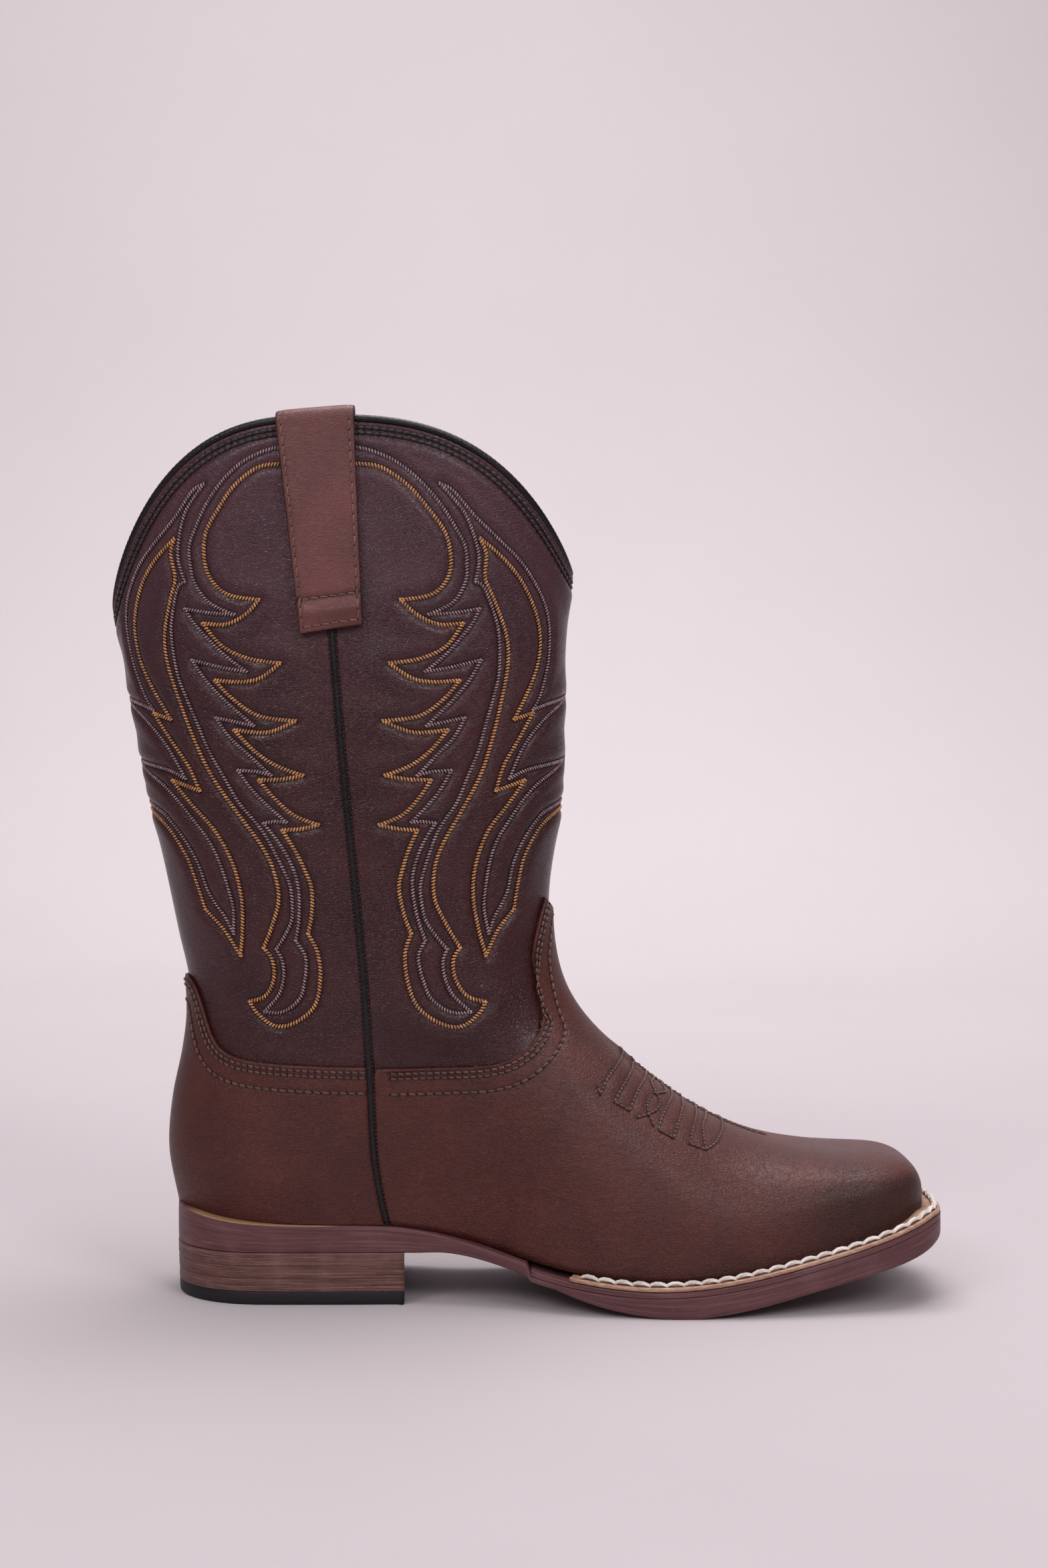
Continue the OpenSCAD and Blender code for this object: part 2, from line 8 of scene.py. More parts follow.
import bpy
import numpy as np
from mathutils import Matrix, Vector
from mathutils.bvhtree import BVHTree
from mathutils.kdtree import KDTree


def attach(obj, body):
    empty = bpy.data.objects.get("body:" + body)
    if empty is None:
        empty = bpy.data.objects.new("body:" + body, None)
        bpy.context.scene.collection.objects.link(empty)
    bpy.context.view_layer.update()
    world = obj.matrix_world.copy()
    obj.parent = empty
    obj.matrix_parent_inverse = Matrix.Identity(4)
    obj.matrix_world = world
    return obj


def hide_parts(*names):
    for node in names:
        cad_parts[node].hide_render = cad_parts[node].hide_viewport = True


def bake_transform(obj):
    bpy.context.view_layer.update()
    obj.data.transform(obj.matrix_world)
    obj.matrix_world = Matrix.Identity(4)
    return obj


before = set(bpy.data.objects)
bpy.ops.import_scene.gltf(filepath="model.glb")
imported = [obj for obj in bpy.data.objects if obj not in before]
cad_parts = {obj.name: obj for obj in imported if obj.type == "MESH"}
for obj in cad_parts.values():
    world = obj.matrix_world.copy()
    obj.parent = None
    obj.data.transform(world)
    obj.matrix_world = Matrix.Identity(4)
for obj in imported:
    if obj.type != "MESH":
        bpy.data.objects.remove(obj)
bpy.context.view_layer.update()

random = np.random.default_rng(7)

# ---- Driving sizes, in millimetres ----
# They are the CAD model's, but the foot's toe is 2 mm shorter and up to 1.5 mm lower, and the front
# face of the heel slants.
ORIGIN = np.array([-133.6, 1.5, 0.0])   # from the back of the heel to the row frame's origin
LATERAL, MEDIAL = -1, 1
SIDES = {LATERAL: "lateral", MEDIAL: "medial"}
VAMP_T = 1.4
SHAFT_T = 1.6
LINING_T = 0.9
LAYER_GAP = 0.35
SEAM_GAP = 1.2        # from the middle of the side cord to the edge of a panel
BEAD_R = 1.6
CORD_R = 1.15
PEAK_Z, FRONT_DIP_Z, BACK_DIP_Z = 327.5, 274.0, 259.0     # top edge over the seam, front and back
SCALLOP_POWER = 2.75
COLLAR_Z, COLLAR_PEAK, COLLAR_TUCK = 88.7, 30.4, 9.0      # the counter's collar over the shaft
HEEL_Z, CAP_T, LIFTS, BREAST_X, BREAST_SLANT = 19.4, 5.0, 3, 89.0, 4.2
WELT_T, MIDSOLE_T, MIDSOLE_X, WELT_X = 1.6, 2.0, 134.0, 150.0
FOOT_TOE_X, SOLE_TOE_X, TOE_LIP_X, HEEL_ROUND = 284.0, 292.5, 287.0, 38.0
FOOT_BEND_X, RIDGE_BEND_X, SOLE_BEND_X = 248, 262, 258    # where each rounds off to the toe

BACK_LINE = [(34, 1.5), (54, -2.2), (73, -1), (92, 2.8), (106, 4.4), (120, 3.6), (136, 0),
             (161, -5.3), (197, -13.2), (244, -22), (270, -27), (335, -36)]
FRONT_LINE = [(32, 128), (46, 131), (65, 156), (83, 177), (94, 165), (104, 155.6), (114, 149.3),
              (125, 145.4), (140, 143.3), (156, 143.6), (182, 147.3), (208, 148.8),
              (244, 149.6), (268, 151.5), (335, 158)]
RIDGE_LINE = [(80, 165), (120, 140), (140, 122), (154, 106), (163, 96.4), (173, 86), (187, 75.9),
              (201, 66.4), (217, 59.2), (232, 54.9), (252, 52.0), (288, 50.9)]
FEATHER_LINE = [(0, 34), (20, 31), (42, 29.5), (82, 28.8), (97, 26.7), (113, 23), (134, 17.2),
                (152, 13.6), (175, 11.4), (196, 12), (217, 15), (239, 19.7), (256, 23.8),
                (270, 28), (287, 34)]
TREAD_LINE = [(94, 19.4), (104, 19.6), (114, 18.3), (124, 16), (134, 13), (145, 8.8), (155, 5.4),
              (166, 2.6), (180, 0.5), (190, 0), (200, 0.5), (217, 3.2), (238, 8), (260, 13.2),
              (274, 17), (284, 20.6), (293, 25)]
SEAM_LINE = [(29, 82.5), (40, 80), (56, 77.6), (88, 76), (117, 74.4), (163, 70.3), (201, 66.6),
             (237, 63.7), (335, 56)]
LEG_WIDTH = [(30, 33.5), (45, 35.5), (65, 37), (90, 38.5), (120, 39), (160, 40.5), (200, 42),
             (250, 43.5), (335, 43)]
FOOT_LATERAL = [(40, 33), (80, 31), (97, 31.5), (113, 33), (134, 39), (155, 46), (180, 50),
                (200, 50.5), (217, 49), (238, 45), (256, 40.5), (270, 38), (286, 36)]
FOOT_MEDIAL = [(40, 33), (80, 30), (97, 27), (113, 25.5), (134, 28), (155, 36), (180, 44),
               (200, 47.5), (217, 48.5), (238, 46), (256, 42), (270, 39.5), (286, 38)]
SOLE_LATERAL = [(38, 36), (60, 36), (89, 35.5), (100, 35.8), (113, 38), (134, 45), (155, 53),
                (180, 57.5), (200, 58), (217, 56.5), (238, 52.5), (260, 47), (275, 44), (293, 42)]
SOLE_MEDIAL = [(38, 36), (60, 36), (89, 34), (100, 31), (113, 29), (134, 32), (155, 41.5),
               (180, 50), (200, 54), (217, 55), (238, 53), (260, 49), (275, 46.5), (293, 44)]
# Back edges of the vamp and of its lining, as (x, z) on the side view.
COLLAR_PATH = [(78, 88.5), (91, 88.5), (104, 88.6), (119, 89), (129, 91.6), (135.8, 97),
               (139.6, 104.5), (139.8, 113), (137, 121.5), (135.3, 130), (136.8, 138.5),
               (139, 147), (142.8, 157.5)]
LINING_PATH = [(78.5, 77.5), (92, 77.5), (106, 77.5), (120, 77.5), (134, 77.5), (145, 78.5),
               (153, 82), (155.5, 88), (154, 94), (150.5, 101), (147.8, 108), (147.2, 112),
               (148.9, 115)]

# Embroidery of one quarter of the shaft, as (distance from the side seam, height). Each arc starts
# where the last one ended, and the corners between arcs are sharp.
GOLD_ARCS = [
    [(3, 312), (14, 311), (22, 309), (31, 302), (38, 293), (44, 283), (45, 272), (42, 265),
     (36, 261), (25, 260)],
    [(31, 254), (39, 250), (48, 250)],
    [(41, 242), (31, 238), (19, 237)],
    [(27, 231), (35, 229), (45, 229)],
    [(39, 223), (29, 217), (15, 216)],
    [(26, 211), (39, 211)],
    [(32, 204), (24, 199), (14, 196)],
    [(22, 194), (31, 193)],
    [(26, 187), (19, 181), (10, 178)],
    [(17, 176), (24, 175)],
    [(20, 168), (17, 161), (15, 154), (16, 144), (18, 137)],
    [(15, 130), (15, 120), (18, 110), (26, 103), (34, 101), (41, 105), (44, 109)],
    [(37, 112), (33, 119), (33, 126), (36, 130)],
    [(32, 138), (28, 149), (29, 160), (33, 169), (41, 180), (50, 193), (56, 206), (61, 220),
     (65, 234), (65, 245), (61, 258), (58, 266), (59, 275), (57, 281)],
    [(66, 273), (74, 263), (80, 249), (80, 237), (75, 226), (66, 213)],
    [(75, 215)],
    [(67, 205), (60, 196), (56, 187)],
    [(69, 190)],
    [(60, 181), (51, 172), (45, 160), (43, 148), (44, 136), (46, 126)],
    [(52, 135), (60, 142)],
    [(63, 152), (67, 162), (76, 172), (89, 177), (104, 178)],
]
MAUVE_ARCS = [
    [(3, 318), (14, 317), (24, 313), (31, 308), (37, 302), (43, 294), (48, 285), (51, 278),
     (51, 270), (50, 265), (46, 259), (41, 256), (35, 254)],
    [(45, 254), (55, 255)],
    [(51, 249), (44, 242), (38, 237), (32, 233)],
    [(42, 234), (54, 236)],
    [(49, 229), (42, 222), (31, 213)],
    [(38, 214), (46, 215)],
    [(41, 208), (34, 202), (26, 195)],
    [(31, 196), (39, 196)],
    [(34, 189), (29, 184), (22, 178)],
    [(26, 178), (31, 177)],
    [(25, 169), (21, 160), (20, 152), (21, 142), (23, 134)],
    [(20, 129), (20, 124), (21, 119), (23, 113), (28, 108), (33, 106), (38, 106)],
    [(34, 110), (31, 114), (29, 120), (29, 126), (31, 130)],
    [(28, 134), (24, 141), (23, 147), (23, 154), (25, 160), (30, 171), (34, 177), (40, 184),
     (45, 193), (50, 202), (54, 212), (58, 222), (61, 231), (62, 245), (60, 255), (57, 263),
     (54, 265)],
    [(56, 273), (55, 281), (52, 290), (48, 296), (43, 302)],
    [(48, 299), (56, 289), (65, 280), (73, 272), (79, 264), (84, 255), (86, 246), (85, 235),
     (82, 227), (79, 221), (75, 216)],
    [(84, 218), (100, 220)],
    [(84, 214), (75, 208), (69, 202), (65, 196), (62, 191)],
    [(72, 194), (96, 196)],
    [(77, 189), (68, 183), (61, 176), (55, 169), (51, 161), (48, 150), (47, 143), (48, 134)],
    [(51, 140), (55, 145), (58, 150), (61, 159), (66, 167), (73, 174), (81, 178), (104, 182)],
]
TILT = 0.079          # the embroidery climbs by this much of its distance from the seam
# Stitching over the instep, as (x, z) on the side view. The inner side mirrors the outer one.
INSTEP_ARCS = [
    [[(170.5, 92), (171, 89.5), (168, 86.5), (164.5, 83), (162, 78.5)], [(161, 81)]],
    [[(174.5, 88), (175, 85.5), (172.5, 82.5), (169.5, 79), (167, 75.5)], [(172.5, 72)],
     [(174, 74.5), (176.5, 78.5), (179.5, 81), (179, 83.5), (178, 86)]],
    [[(181.5, 83.5), (183, 80.5), (184.5, 78), (186.5, 76), (187, 75)], [(182, 76)]],
    [[(189, 78.5), (181.5, 79)],
     [(182, 77.5), (184.5, 73.5), (183.5, 71.5), (181, 70.5), (175.5, 69.5)]],
    [[(181, 75.5), (179.5, 73.5), (179.5, 71), (180.5, 69), (181.5, 66.5)]],
    [[(189, 78.5), (189.5, 74), (187.5, 72), (184.5, 68), (183.5, 65)], [(189, 62)],
     [(190.5, 65), (192.5, 69), (193.5, 71), (193, 73), (192, 75.5)]],
    [[(197, 72), (199, 68.5), (198.5, 67), (196.5, 63.5), (195, 59.5)], [(201, 57)],
     [(200.5, 60), (200.5, 63.5), (202, 65), (203.5, 65.5)]],
    [[(201, 57), (205, 58.5), (208, 61), (209, 62.5), (206.5, 64.5)]],
    [[(199.5, 69), (203.5, 66.3), (209, 63.8), (214.5, 61.8), (221, 60), (227, 58.3)],
     [(221.5, 58.6), (216, 60.3), (211, 62.6), (206.5, 64.5)]],
]


# ---- The skin of the boot ----
def curve(knots, x):
    """A smooth curve through (x, y) knots, straight beyond its ends."""
    p = np.array(knots, float)
    x = np.asarray(x, float)
    slope = np.empty(len(p))
    slope[1:-1] = (p[2:, 1] - p[:-2, 1]) / (p[2:, 0] - p[:-2, 0])
    slope[0] = (p[1, 1] - p[0, 1]) / (p[1, 0] - p[0, 0])
    slope[-1] = (p[-1, 1] - p[-2, 1]) / (p[-1, 0] - p[-2, 0])
    i = np.clip(np.searchsorted(p[:, 0], x, side="right") - 1, 0, len(p) - 2)
    h = p[i + 1, 0] - p[i, 0]
    t = (x - p[i, 0]) / h
    s = np.clip(t, 0, 1)
    y = (p[i, 1] * (1 + 2 * s) * (1 - s) ** 2 + p[i + 1, 1] * s * s * (3 - 2 * s)
         + h * (slope[i] * s * (1 - s) ** 2 - slope[i + 1] * s * s * (1 - s)))
    return y + h * (slope[i] * np.minimum(t, 0) + slope[i + 1] * np.maximum(t - 1, 0))


def smooth_path(knots, t):
    """A smooth path through points of any dimension, with t from 0 to 1 along it."""
    p = np.array(knots, float)
    t = np.asarray(t, float)
    last = len(p) - 1
    i = np.minimum(np.floor(t * last).astype(int), last - 1)
    f = (t * last - i)[..., None]
    a, b = p[i], p[i + 1]
    ma = (b - p[np.maximum(i - 1, 0)]) / 2
    mb = (p[np.minimum(i + 2, last)] - a) / 2
    return (a * (1 + 2 * f) * (1 - f) ** 2 + b * f * f * (3 - 2 * f)
            + ma * f * (1 - f) ** 2 - mb * f * f * (1 - f))


def ease(t):
    c = np.clip(t, 0, 1)
    return c * c * (3 - 2 * c)


def mix(a, b, t):
    return a + (b - a) * t


def unit(v):
    return v / np.maximum(np.linalg.norm(v, axis=-1, keepdims=True), 1e-12)


def turned_out(normal, point, centre):
    """Normals, each turned to point away from the centre line inside the boot."""
    inward = ((point - centre(point)) * normal).sum(-1, keepdims=True) < 0
    return np.where(inward, -normal, normal)


def round_off(x, start, end, power):
    t = np.clip((x - start) / (end - start), 0, 1)
    return (1 - t ** power) ** (1 / power)


def feather(x):
    return curve(FEATHER_LINE, x)


def ridge(x):
    rise = curve(RIDGE_LINE, x) - feather(x)
    return feather(x) + rise * round_off(x, RIDGE_BEND_X, FOOT_TOE_X, 3.8)


def side_w(x, side, lateral, medial):
    """Half width on the side asked for, from the curves of both."""
    return np.where(np.asarray(side) < 0, curve(lateral, x), curve(medial, x))


def foot_w(x, side):
    return side_w(x, side, FOOT_LATERAL, FOOT_MEDIAL) * round_off(x, FOOT_BEND_X, FOOT_TOE_X, 3.4)


def leg_h(x, z):
    back, front = curve(BACK_LINE, z), curve(FRONT_LINE, z)
    u = np.minimum(abs(2 * x - back - front) / (front - back), 1)
    return curve(LEG_WIDTH, z) * np.sqrt(1 - u ** (2 + 0.4 * ease((110 - z) / 60)))


def foot_h(x, z, side):
    """Half width of the foot. The toe box has a flatter top and squarer shoulders."""
    t = np.clip((z - feather(x)) / np.maximum(ridge(x) - feather(x), 1e-6), 0, 1)
    box = ease((x - 212) / 58)
    return foot_w(x, side) * (1 - t ** (2.4 + 3.6 * box)) ** (1 / (2.2 + 0.8 * box))


def skin_h(x, z, side):
    """Half width of the skin at a point of the side view."""
    foot = ease((x - 50) / 90) * ease((110 - z) / 30)
    return mix(leg_h(x, z), foot_h(x, z, side), foot)


class Surface:
    """A skin given by a function of two parameters. at() is a point raised off it."""

    def __init__(self, base, centre, step=1e-3):
        self.base, self.centre, self.step = base, centre, step

    def at(self, u, v, off=0.0):
        e = self.step
        u, v = np.broadcast_arrays(np.asarray(u, float), np.asarray(v, float))
        across = self.base(u + e, v) - self.base(u - e, v)
        along = self.base(u, v + e) - self.base(u, v - e)
        point = self.base(u, v)
        normal = turned_out(unit(np.cross(across, along)), point, self.centre)
        return point + np.asarray(off, float)[..., None] * normal, normal


def sweep(k):
    return 1 - np.cos(np.pi / 2 * k)


def band_x(k, z, front):
    line, gap = (FRONT_LINE, SEAM_GAP) if front else (BACK_LINE, -SEAM_GAP)
    return mix(curve(line, z), curve(SEAM_LINE, z) + gap, sweep(k))


def band_base(q, z, front):
    """The leg's skin. q runs from -1 at the lateral seam over 0 at the centre to 1."""
    x = band_x(abs(q), z, front)
    side = np.where(q < 0, LATERAL, MEDIAL)
    return np.stack([x, side * skin_h(x, z, side), z * np.ones_like(x)], -1)


def leg_axis(p):
    x = (curve(BACK_LINE, p[..., 2]) + np.minimum(curve(FRONT_LINE, p[..., 2]), 150)) / 2
    return np.stack([x, 0 * x, p[..., 2]], -1)


FRONT = Surface(lambda q, z: band_base(q, z, True), leg_axis)
BACK = Surface(lambda q, z: band_base(q, z, False), leg_axis)


def half(front):
    """Name and skin of the front or the back half of the leg."""
    return ("front", FRONT) if front else ("back", BACK)


TOE_SHARE, FORE_SHARE, THROAT_X, INSTEP_X, INSTEP_Z = 0.3, 0.7, 172.0, 128.0, 112.0
CORNER, SEAM_FOOT_Z = 3 / 16, 29.1


def ring_foot_x(s):
    """Where a ring round the foot starts at the sole: s is 0 at the toe and 2 at the seam."""
    toe = np.clip(1 - s / TOE_SHARE, 0, 1)
    seam_foot_x = curve(SEAM_LINE, SEAM_FOOT_Z) + SEAM_GAP
    return np.select(
        [s < TOE_SHARE, s < FORE_SHARE, s < 1],
        [mix(FOOT_TOE_X, FOOT_BEND_X, 1 - np.sin(np.pi / 2 * toe) ** 0.6),
         mix(FOOT_BEND_X, THROAT_X, (s - TOE_SHARE) / (FORE_SHARE - TOE_SHARE)),
         mix(THROAT_X, INSTEP_X, (s - FORE_SHARE) / (1 - FORE_SHARE))],
        mix(INSTEP_X, seam_foot_x, s - 1))


def ring_top(s, last_z):
    x = ring_foot_x(s)
    throat = mix(ridge(THROAT_X), INSTEP_Z, (s - FORE_SHARE) / (1 - FORE_SHARE))
    z = np.where(s < FORE_SHARE, ridge(x), np.where(s < 1, throat, mix(INSTEP_Z, last_z, s - 1)))
    return np.stack([np.where(s < FORE_SHARE, x, curve(FRONT_LINE, z)), z], -1)


def row_rise(t):
    return mix(0.012, 1, np.sin(np.pi / 2 * np.clip(t, 0, 1)) ** 0.84)


def back_edge(t, path):
    z = mix(SEAM_FOOT_Z, path[0][1], t / CORNER)
    low = np.stack([curve(SEAM_LINE, z) + SEAM_GAP, z], -1)
    high = smooth_path(path, np.sin(np.pi / 2 * np.clip((t - CORNER) / (1 - CORNER), 0, 1)))
    return np.where((t <= CORNER)[..., None], low, high)


def foot_base(s, v, path):
    """The foot's skin. v runs from -1 at the lateral edge over 0 on the ridge to 1."""
    t = np.clip(1 - abs(v), 0, 1)
    side = np.where(v < 0, LATERAL, MEDIAL)
    x = ring_foot_x(s)
    foot, top = np.stack([x, feather(x)], -1), ring_top(s, path[-1][1])
    rise = row_rise(t)[..., None]
    first, last = back_edge(np.zeros(1), path)[0], back_edge(np.ones(1), path)[0]
    bow = back_edge(t, path) - mix(first, last, rise)
    q = mix(foot, top, rise) + np.maximum(0, s - 1)[..., None] * bow
    h = skin_h(q[..., 0], q[..., 1], side) - skin_h(top[..., 0], top[..., 1], side) * rise[..., 0] ** 6
    return np.stack([q[..., 0], side * np.maximum(0, h) * (abs(v) > 1e-9), q[..., 1]], -1)


def foot_axis(p):
    x = np.clip(p[..., 0], 60, 268)
    return np.stack([x, 0 * x, feather(x) + np.minimum(12, 0.4 * (ridge(x) - feather(x)))], -1)


VAMP = Surface(lambda s, v: foot_base(s, v, COLLAR_PATH), foot_axis, 4e-4)
VAMP_LINING = Surface(lambda s, v: foot_base(s, v, LINING_PATH), foot_axis, 4e-4)


def top_z(k, front):
    u = 1 - (1.05 if front else 0.95) * sweep(k)
    return PEAK_Z - (PEAK_Z - (FRONT_DIP_Z if front else BACK_DIP_Z)) * abs(u) ** SCALLOP_POWER


def heel_collar_z(k):
    return COLLAR_Z + 1.6 * (1 - k) + COLLAR_PEAK / (1 + (k / 0.33) ** 6)


def heel_edge_z(k):
    """Where the back half of the boot meets the sole."""
    return feather(band_x(k, 30 + 0 * k, False))


def shaft_low_z(k, front):
    return 79 + 40 / (1 + (k / 0.35) ** 6) if front else heel_collar_z(k) - COLLAR_TUCK


# ---- Meshes ----
def weld(points, faces, data):
    """Joins points that coincide and drops the edges that this closes up."""
    keys, first, index = np.unique(points.round(4), axis=0, return_index=True, return_inverse=True)
    faces = index.reshape(-1)[faces]
    order = faces[(faces != np.roll(faces, 1, 1)).all(1)]
    pinched = faces[(faces != np.roll(faces, 1, 1)).sum(1) == 3]
    thirds = [f[f != np.roll(f, 1)] for f in pinched]
    return points[first], list(map(tuple, order)) + list(map(tuple, thirds)), data[first]


def new_object(name, data):
    obj = bpy.data.objects.new(name, data)
    bpy.context.scene.collection.objects.link(obj)
    return obj


def new_mesh(name, points, faces, look):
    """A smooth mesh object, from points in metres."""
    mesh = bpy.data.meshes.new(name)
    mesh.from_pydata(points.tolist(), [], faces)
    mesh.polygons.foreach_set("use_smooth", np.ones(len(mesh.polygons), bool))
    mesh.materials.append(look)
    return new_object(name, mesh)


def piece(name, points, faces, look, slot, body="boot", replaces=(), shade=None, blend=None, level=None):
    """Makes a mesh object from millimetres with its look, and hides the CAD nodes it replaces. It hangs from
    its body's empty, or, given blend, has its transform baked in instead.
    """
    points = np.asarray(points, float).reshape(-1, 3)
    faces = np.asarray(faces)
    shade = np.zeros(len(points)) if shade is None else np.asarray(shade, float).reshape(-1)
    level = points[:, 2] if level is None else np.asarray(level, float)
    a, b, c, d = (points[faces[:, i]] for i in range(4))
    if ((np.cross(a, b) * c).sum() + (np.cross(a, c) * d).sum()) < 0:
        faces = faces[:, ::-1]
    points, faces, marks = weld(points, faces, np.stack([shade, level], 1).astype(np.float32))
    obj = new_mesh(name, (points + ORIGIN) * 0.001, faces, look)
    for word, values in (("shade", marks[:, 0]), ("level", marks[:, 1])):
        obj.data.attributes.new(word, "FLOAT", "POINT").data.foreach_set("value", values.copy())
    obj.data.update()
    if replaces:
        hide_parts(*replaces)
    if blend:
        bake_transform(obj)
    else:
        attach(obj, body)
    return obj


def grid_faces(rows, cols, wrap=False):
    ids = np.arange(rows * cols).reshape(rows, cols)
    if wrap:
        ids = np.concatenate([ids, ids[:, :1]], 1)
    return np.stack([ids[:-1, :-1], ids[:-1, 1:], ids[1:, 1:], ids[1:, :-1]], -1).reshape(-1, 4)


def rim_ids(rows, cols):
    ids = np.arange(rows * cols).reshape(rows, cols)
    return np.concatenate([ids[0, :-1], ids[:-1, -1], ids[-1, :0:-1], ids[:0:-1, 0]])


def shell(outer, inner):
    """Points and faces of a closed sheet between two grids."""
    rows, cols = outer.shape[:2]
    n = rows * cols
    face, rim = grid_faces(rows, cols), rim_ids(rows, cols)
    after = np.roll(rim, -1)
    sides = np.stack([rim, rim + n, after + n, after], -1)
    points = np.concatenate([outer.reshape(-1, 3), inner.reshape(-1, 3)])
    return points, np.concatenate([face, face[:, ::-1] + n, sides])


def tube_faces(rows, cols):
    """Faces of a tube with closed ends, whose outline has an even number of points."""
    i = np.arange(cols // 2 - 1)
    end = np.stack([i, i + 1, cols - 2 - i, cols - 1 - i], -1)
    return np.concatenate([grid_faces(rows, cols, True), end[:, ::-1], end + (rows - 1) * cols])


def outer_only(values):
    """Marks for a shell's points: these on its outer face, and none on its inner face."""
    return np.concatenate([values.reshape(-1), np.zeros(values.size)])


def tube(path, across, up, outline):
    """Sweeps a closed outline, as (across, up) offsets, along a path, with flat ends."""
    outline = np.asarray(outline, float)
    rings = (path[:, None] + outline[None, :, 0, None] * across[:, None]
             + outline[None, :, 1, None] * up[:, None])
    return rings.reshape(-1, 3), tube_faces(*rings.shape[:2])


def circle(radius, sides, squeeze=1.0):
    a = 2 * np.pi * (np.arange(sides) + 0.5) / sides
    return np.stack([radius * np.cos(a), squeeze * radius * np.sin(a)], -1)


BEAD_RINGS = np.array([[0.0, 0.45], [0.12, 0.85], [0.35, 1.0], [0.65, 1.0], [0.88, 0.85], [1.0, 0.45]])
BEAD_SIDES = 6


def beads(starts, ends, normals, radius, squeeze=1.0, bow=0.0):
    """One closed bead of thread from each start to its end, bowed up off the leather."""
    n, r = len(starts), len(BEAD_RINGS)
    along = ends - starts
    across = unit(np.cross(along, normals))
    a = 2 * np.pi * np.arange(BEAD_SIDES) / BEAD_SIDES
    u, fat = BEAD_RINGS[:, 0], BEAD_RINGS[:, 1]
    middle = (starts[:, None] + u[None, :, None] * along[:, None]
              + (bow * (1 - (2 * u - 1) ** 2))[None, :, None] * normals[:, None])
    ring = (np.cos(a)[None, None, :, None] * across[:, None, None]
            + squeeze * np.sin(a)[None, None, :, None] * normals[:, None, None])
    size = np.broadcast_to(np.asarray(radius, float), (n,))[:, None, None, None] * fat[None, :, None, None]
    points = (middle[:, :, None] + size * ring).reshape(-1, 3)
    caps = np.array([[0, 1, 2, 3], [0, 3, 4, 5]])
    one = np.concatenate([grid_faces(r, BEAD_SIDES, True), caps[:, ::-1], caps + (r - 1) * BEAD_SIDES])
    step = np.arange(n) * r * BEAD_SIDES
    faces = (one[None] + step[:, None, None]).reshape(-1, 4)
    tone = np.repeat(random.uniform(-1, 1, n), r * BEAD_SIDES)
    return points, faces, tone


def joined(parts):
    """Several (points, faces, tone) as one."""
    offsets = np.cumsum([0] + [len(p[0]) for p in parts[:-1]])
    return (np.concatenate([p[0] for p in parts]),
            np.concatenate([p[1] + o for p, o in zip(parts, offsets)]),
            np.concatenate([p[2] for p in parts]))


def thread_piece(name, parts, look, slot, **where):
    points, faces, tone = joined(parts)
    return piece(name, points, faces, look, slot, shade=tone, **where)


def reach_along(points):
    """Distance along a line at each of its points."""
    return np.concatenate([[0], np.cumsum(np.linalg.norm(np.diff(points, axis=0), axis=1))])


def read_at(at, reach, values):
    """Rows of values, given at reach along a line, read at other places on it."""
    return np.stack([np.interp(at, reach, values[:, i]) for i in range(values.shape[1])], -1)


def evenly(points, pitch):
    """Points along a line at an even pitch, both ends included."""
    reach = reach_along(points)
    count = max(1, int(round(reach[-1] / pitch)))
    return read_at(np.linspace(0, reach[-1], count + 1), reach, points)


def smooth_arcs(arcs, fine=24):
    """Each arc as a dense smooth line that starts at the end of the one before it."""
    lines, tip = [], None
    for arc in arcs:
        knots = arc if tip is None else [tip] + arc
        lines.append(smooth_path(knots, np.linspace(0, 1, fine * (len(knots) - 1) + 1)))
        tip = arc[-1]
    return lines


class Skin:
    """A dense copy of a leather face, to lay stitches on."""

    def __init__(self, grid):
        self.points = grid.reshape(-1, 3)
        faces = grid_faces(*grid.shape[:2])
        self.tree = BVHTree.FromPolygons(self.points.tolist(), faces.tolist())

    def drop(self, points, centre):
        """The nearest points of the face, and its normals, turned outward."""
        found = [self.tree.find_nearest(Vector(p)) for p in points]
        at, normal = (np.array([f[i] for f in found]) for i in (0, 1))
        return at, turned_out(normal, at, centre)


def lockstitch(line, normals, radius, length=0.8, lean=0.0, sink=0.1, bow=0.35, squeeze=0.9):
    """A row of separate stitches along a line of even points, one between each pair."""
    a, b, n = line[:-1], line[1:], unit(normals[:-1] + normals[1:])
    middle, along = (a + b) / 2, (b - a) * length / 2
    side = unit(np.cross(b - a, n)) * lean
    starts, ends = middle - along - side - n * sink, middle + along + side - n * sink
    return beads(starts, ends, n, radius, squeeze, bow)


def holes(line, normals, radius, lift=0.05):
    """A dark bead at each point of a row: painted shade standing in for the needle hole."""
    along = unit(np.gradient(line, axis=0)) * radius
    return beads(line - along + normals * lift, line + along + normals * lift, normals, radius, 0.25)


def ironed(grid, weight, passes=40):
    """Smooths a grid from ring to ring, each ring by its weight from 0 to 1."""
    weight = weight[:, None, None]
    for _ in range(passes):
        even = grid.copy()
        even[1:-1] = (grid[:-2] + 2 * grid[1:-1] + grid[2:]) / 4
        grid = mix(grid, even, weight)
    return grid


def grid_normals(grid, centre):
    normal = unit(np.cross(np.gradient(grid, axis=1), np.gradient(grid, axis=0)))
    return turned_out(normal, grid, centre)


def distances(points, targets):
    tree = KDTree(len(targets))
    for i, p in enumerate(targets):
        tree.insert(p, i)
    tree.balance()
    return np.array([tree.find(p)[2] for p in points.reshape(-1, 3)]).reshape(points.shape[:-1])


PUFF_START = 2.4      # distance from a row at which the leather has puffed up


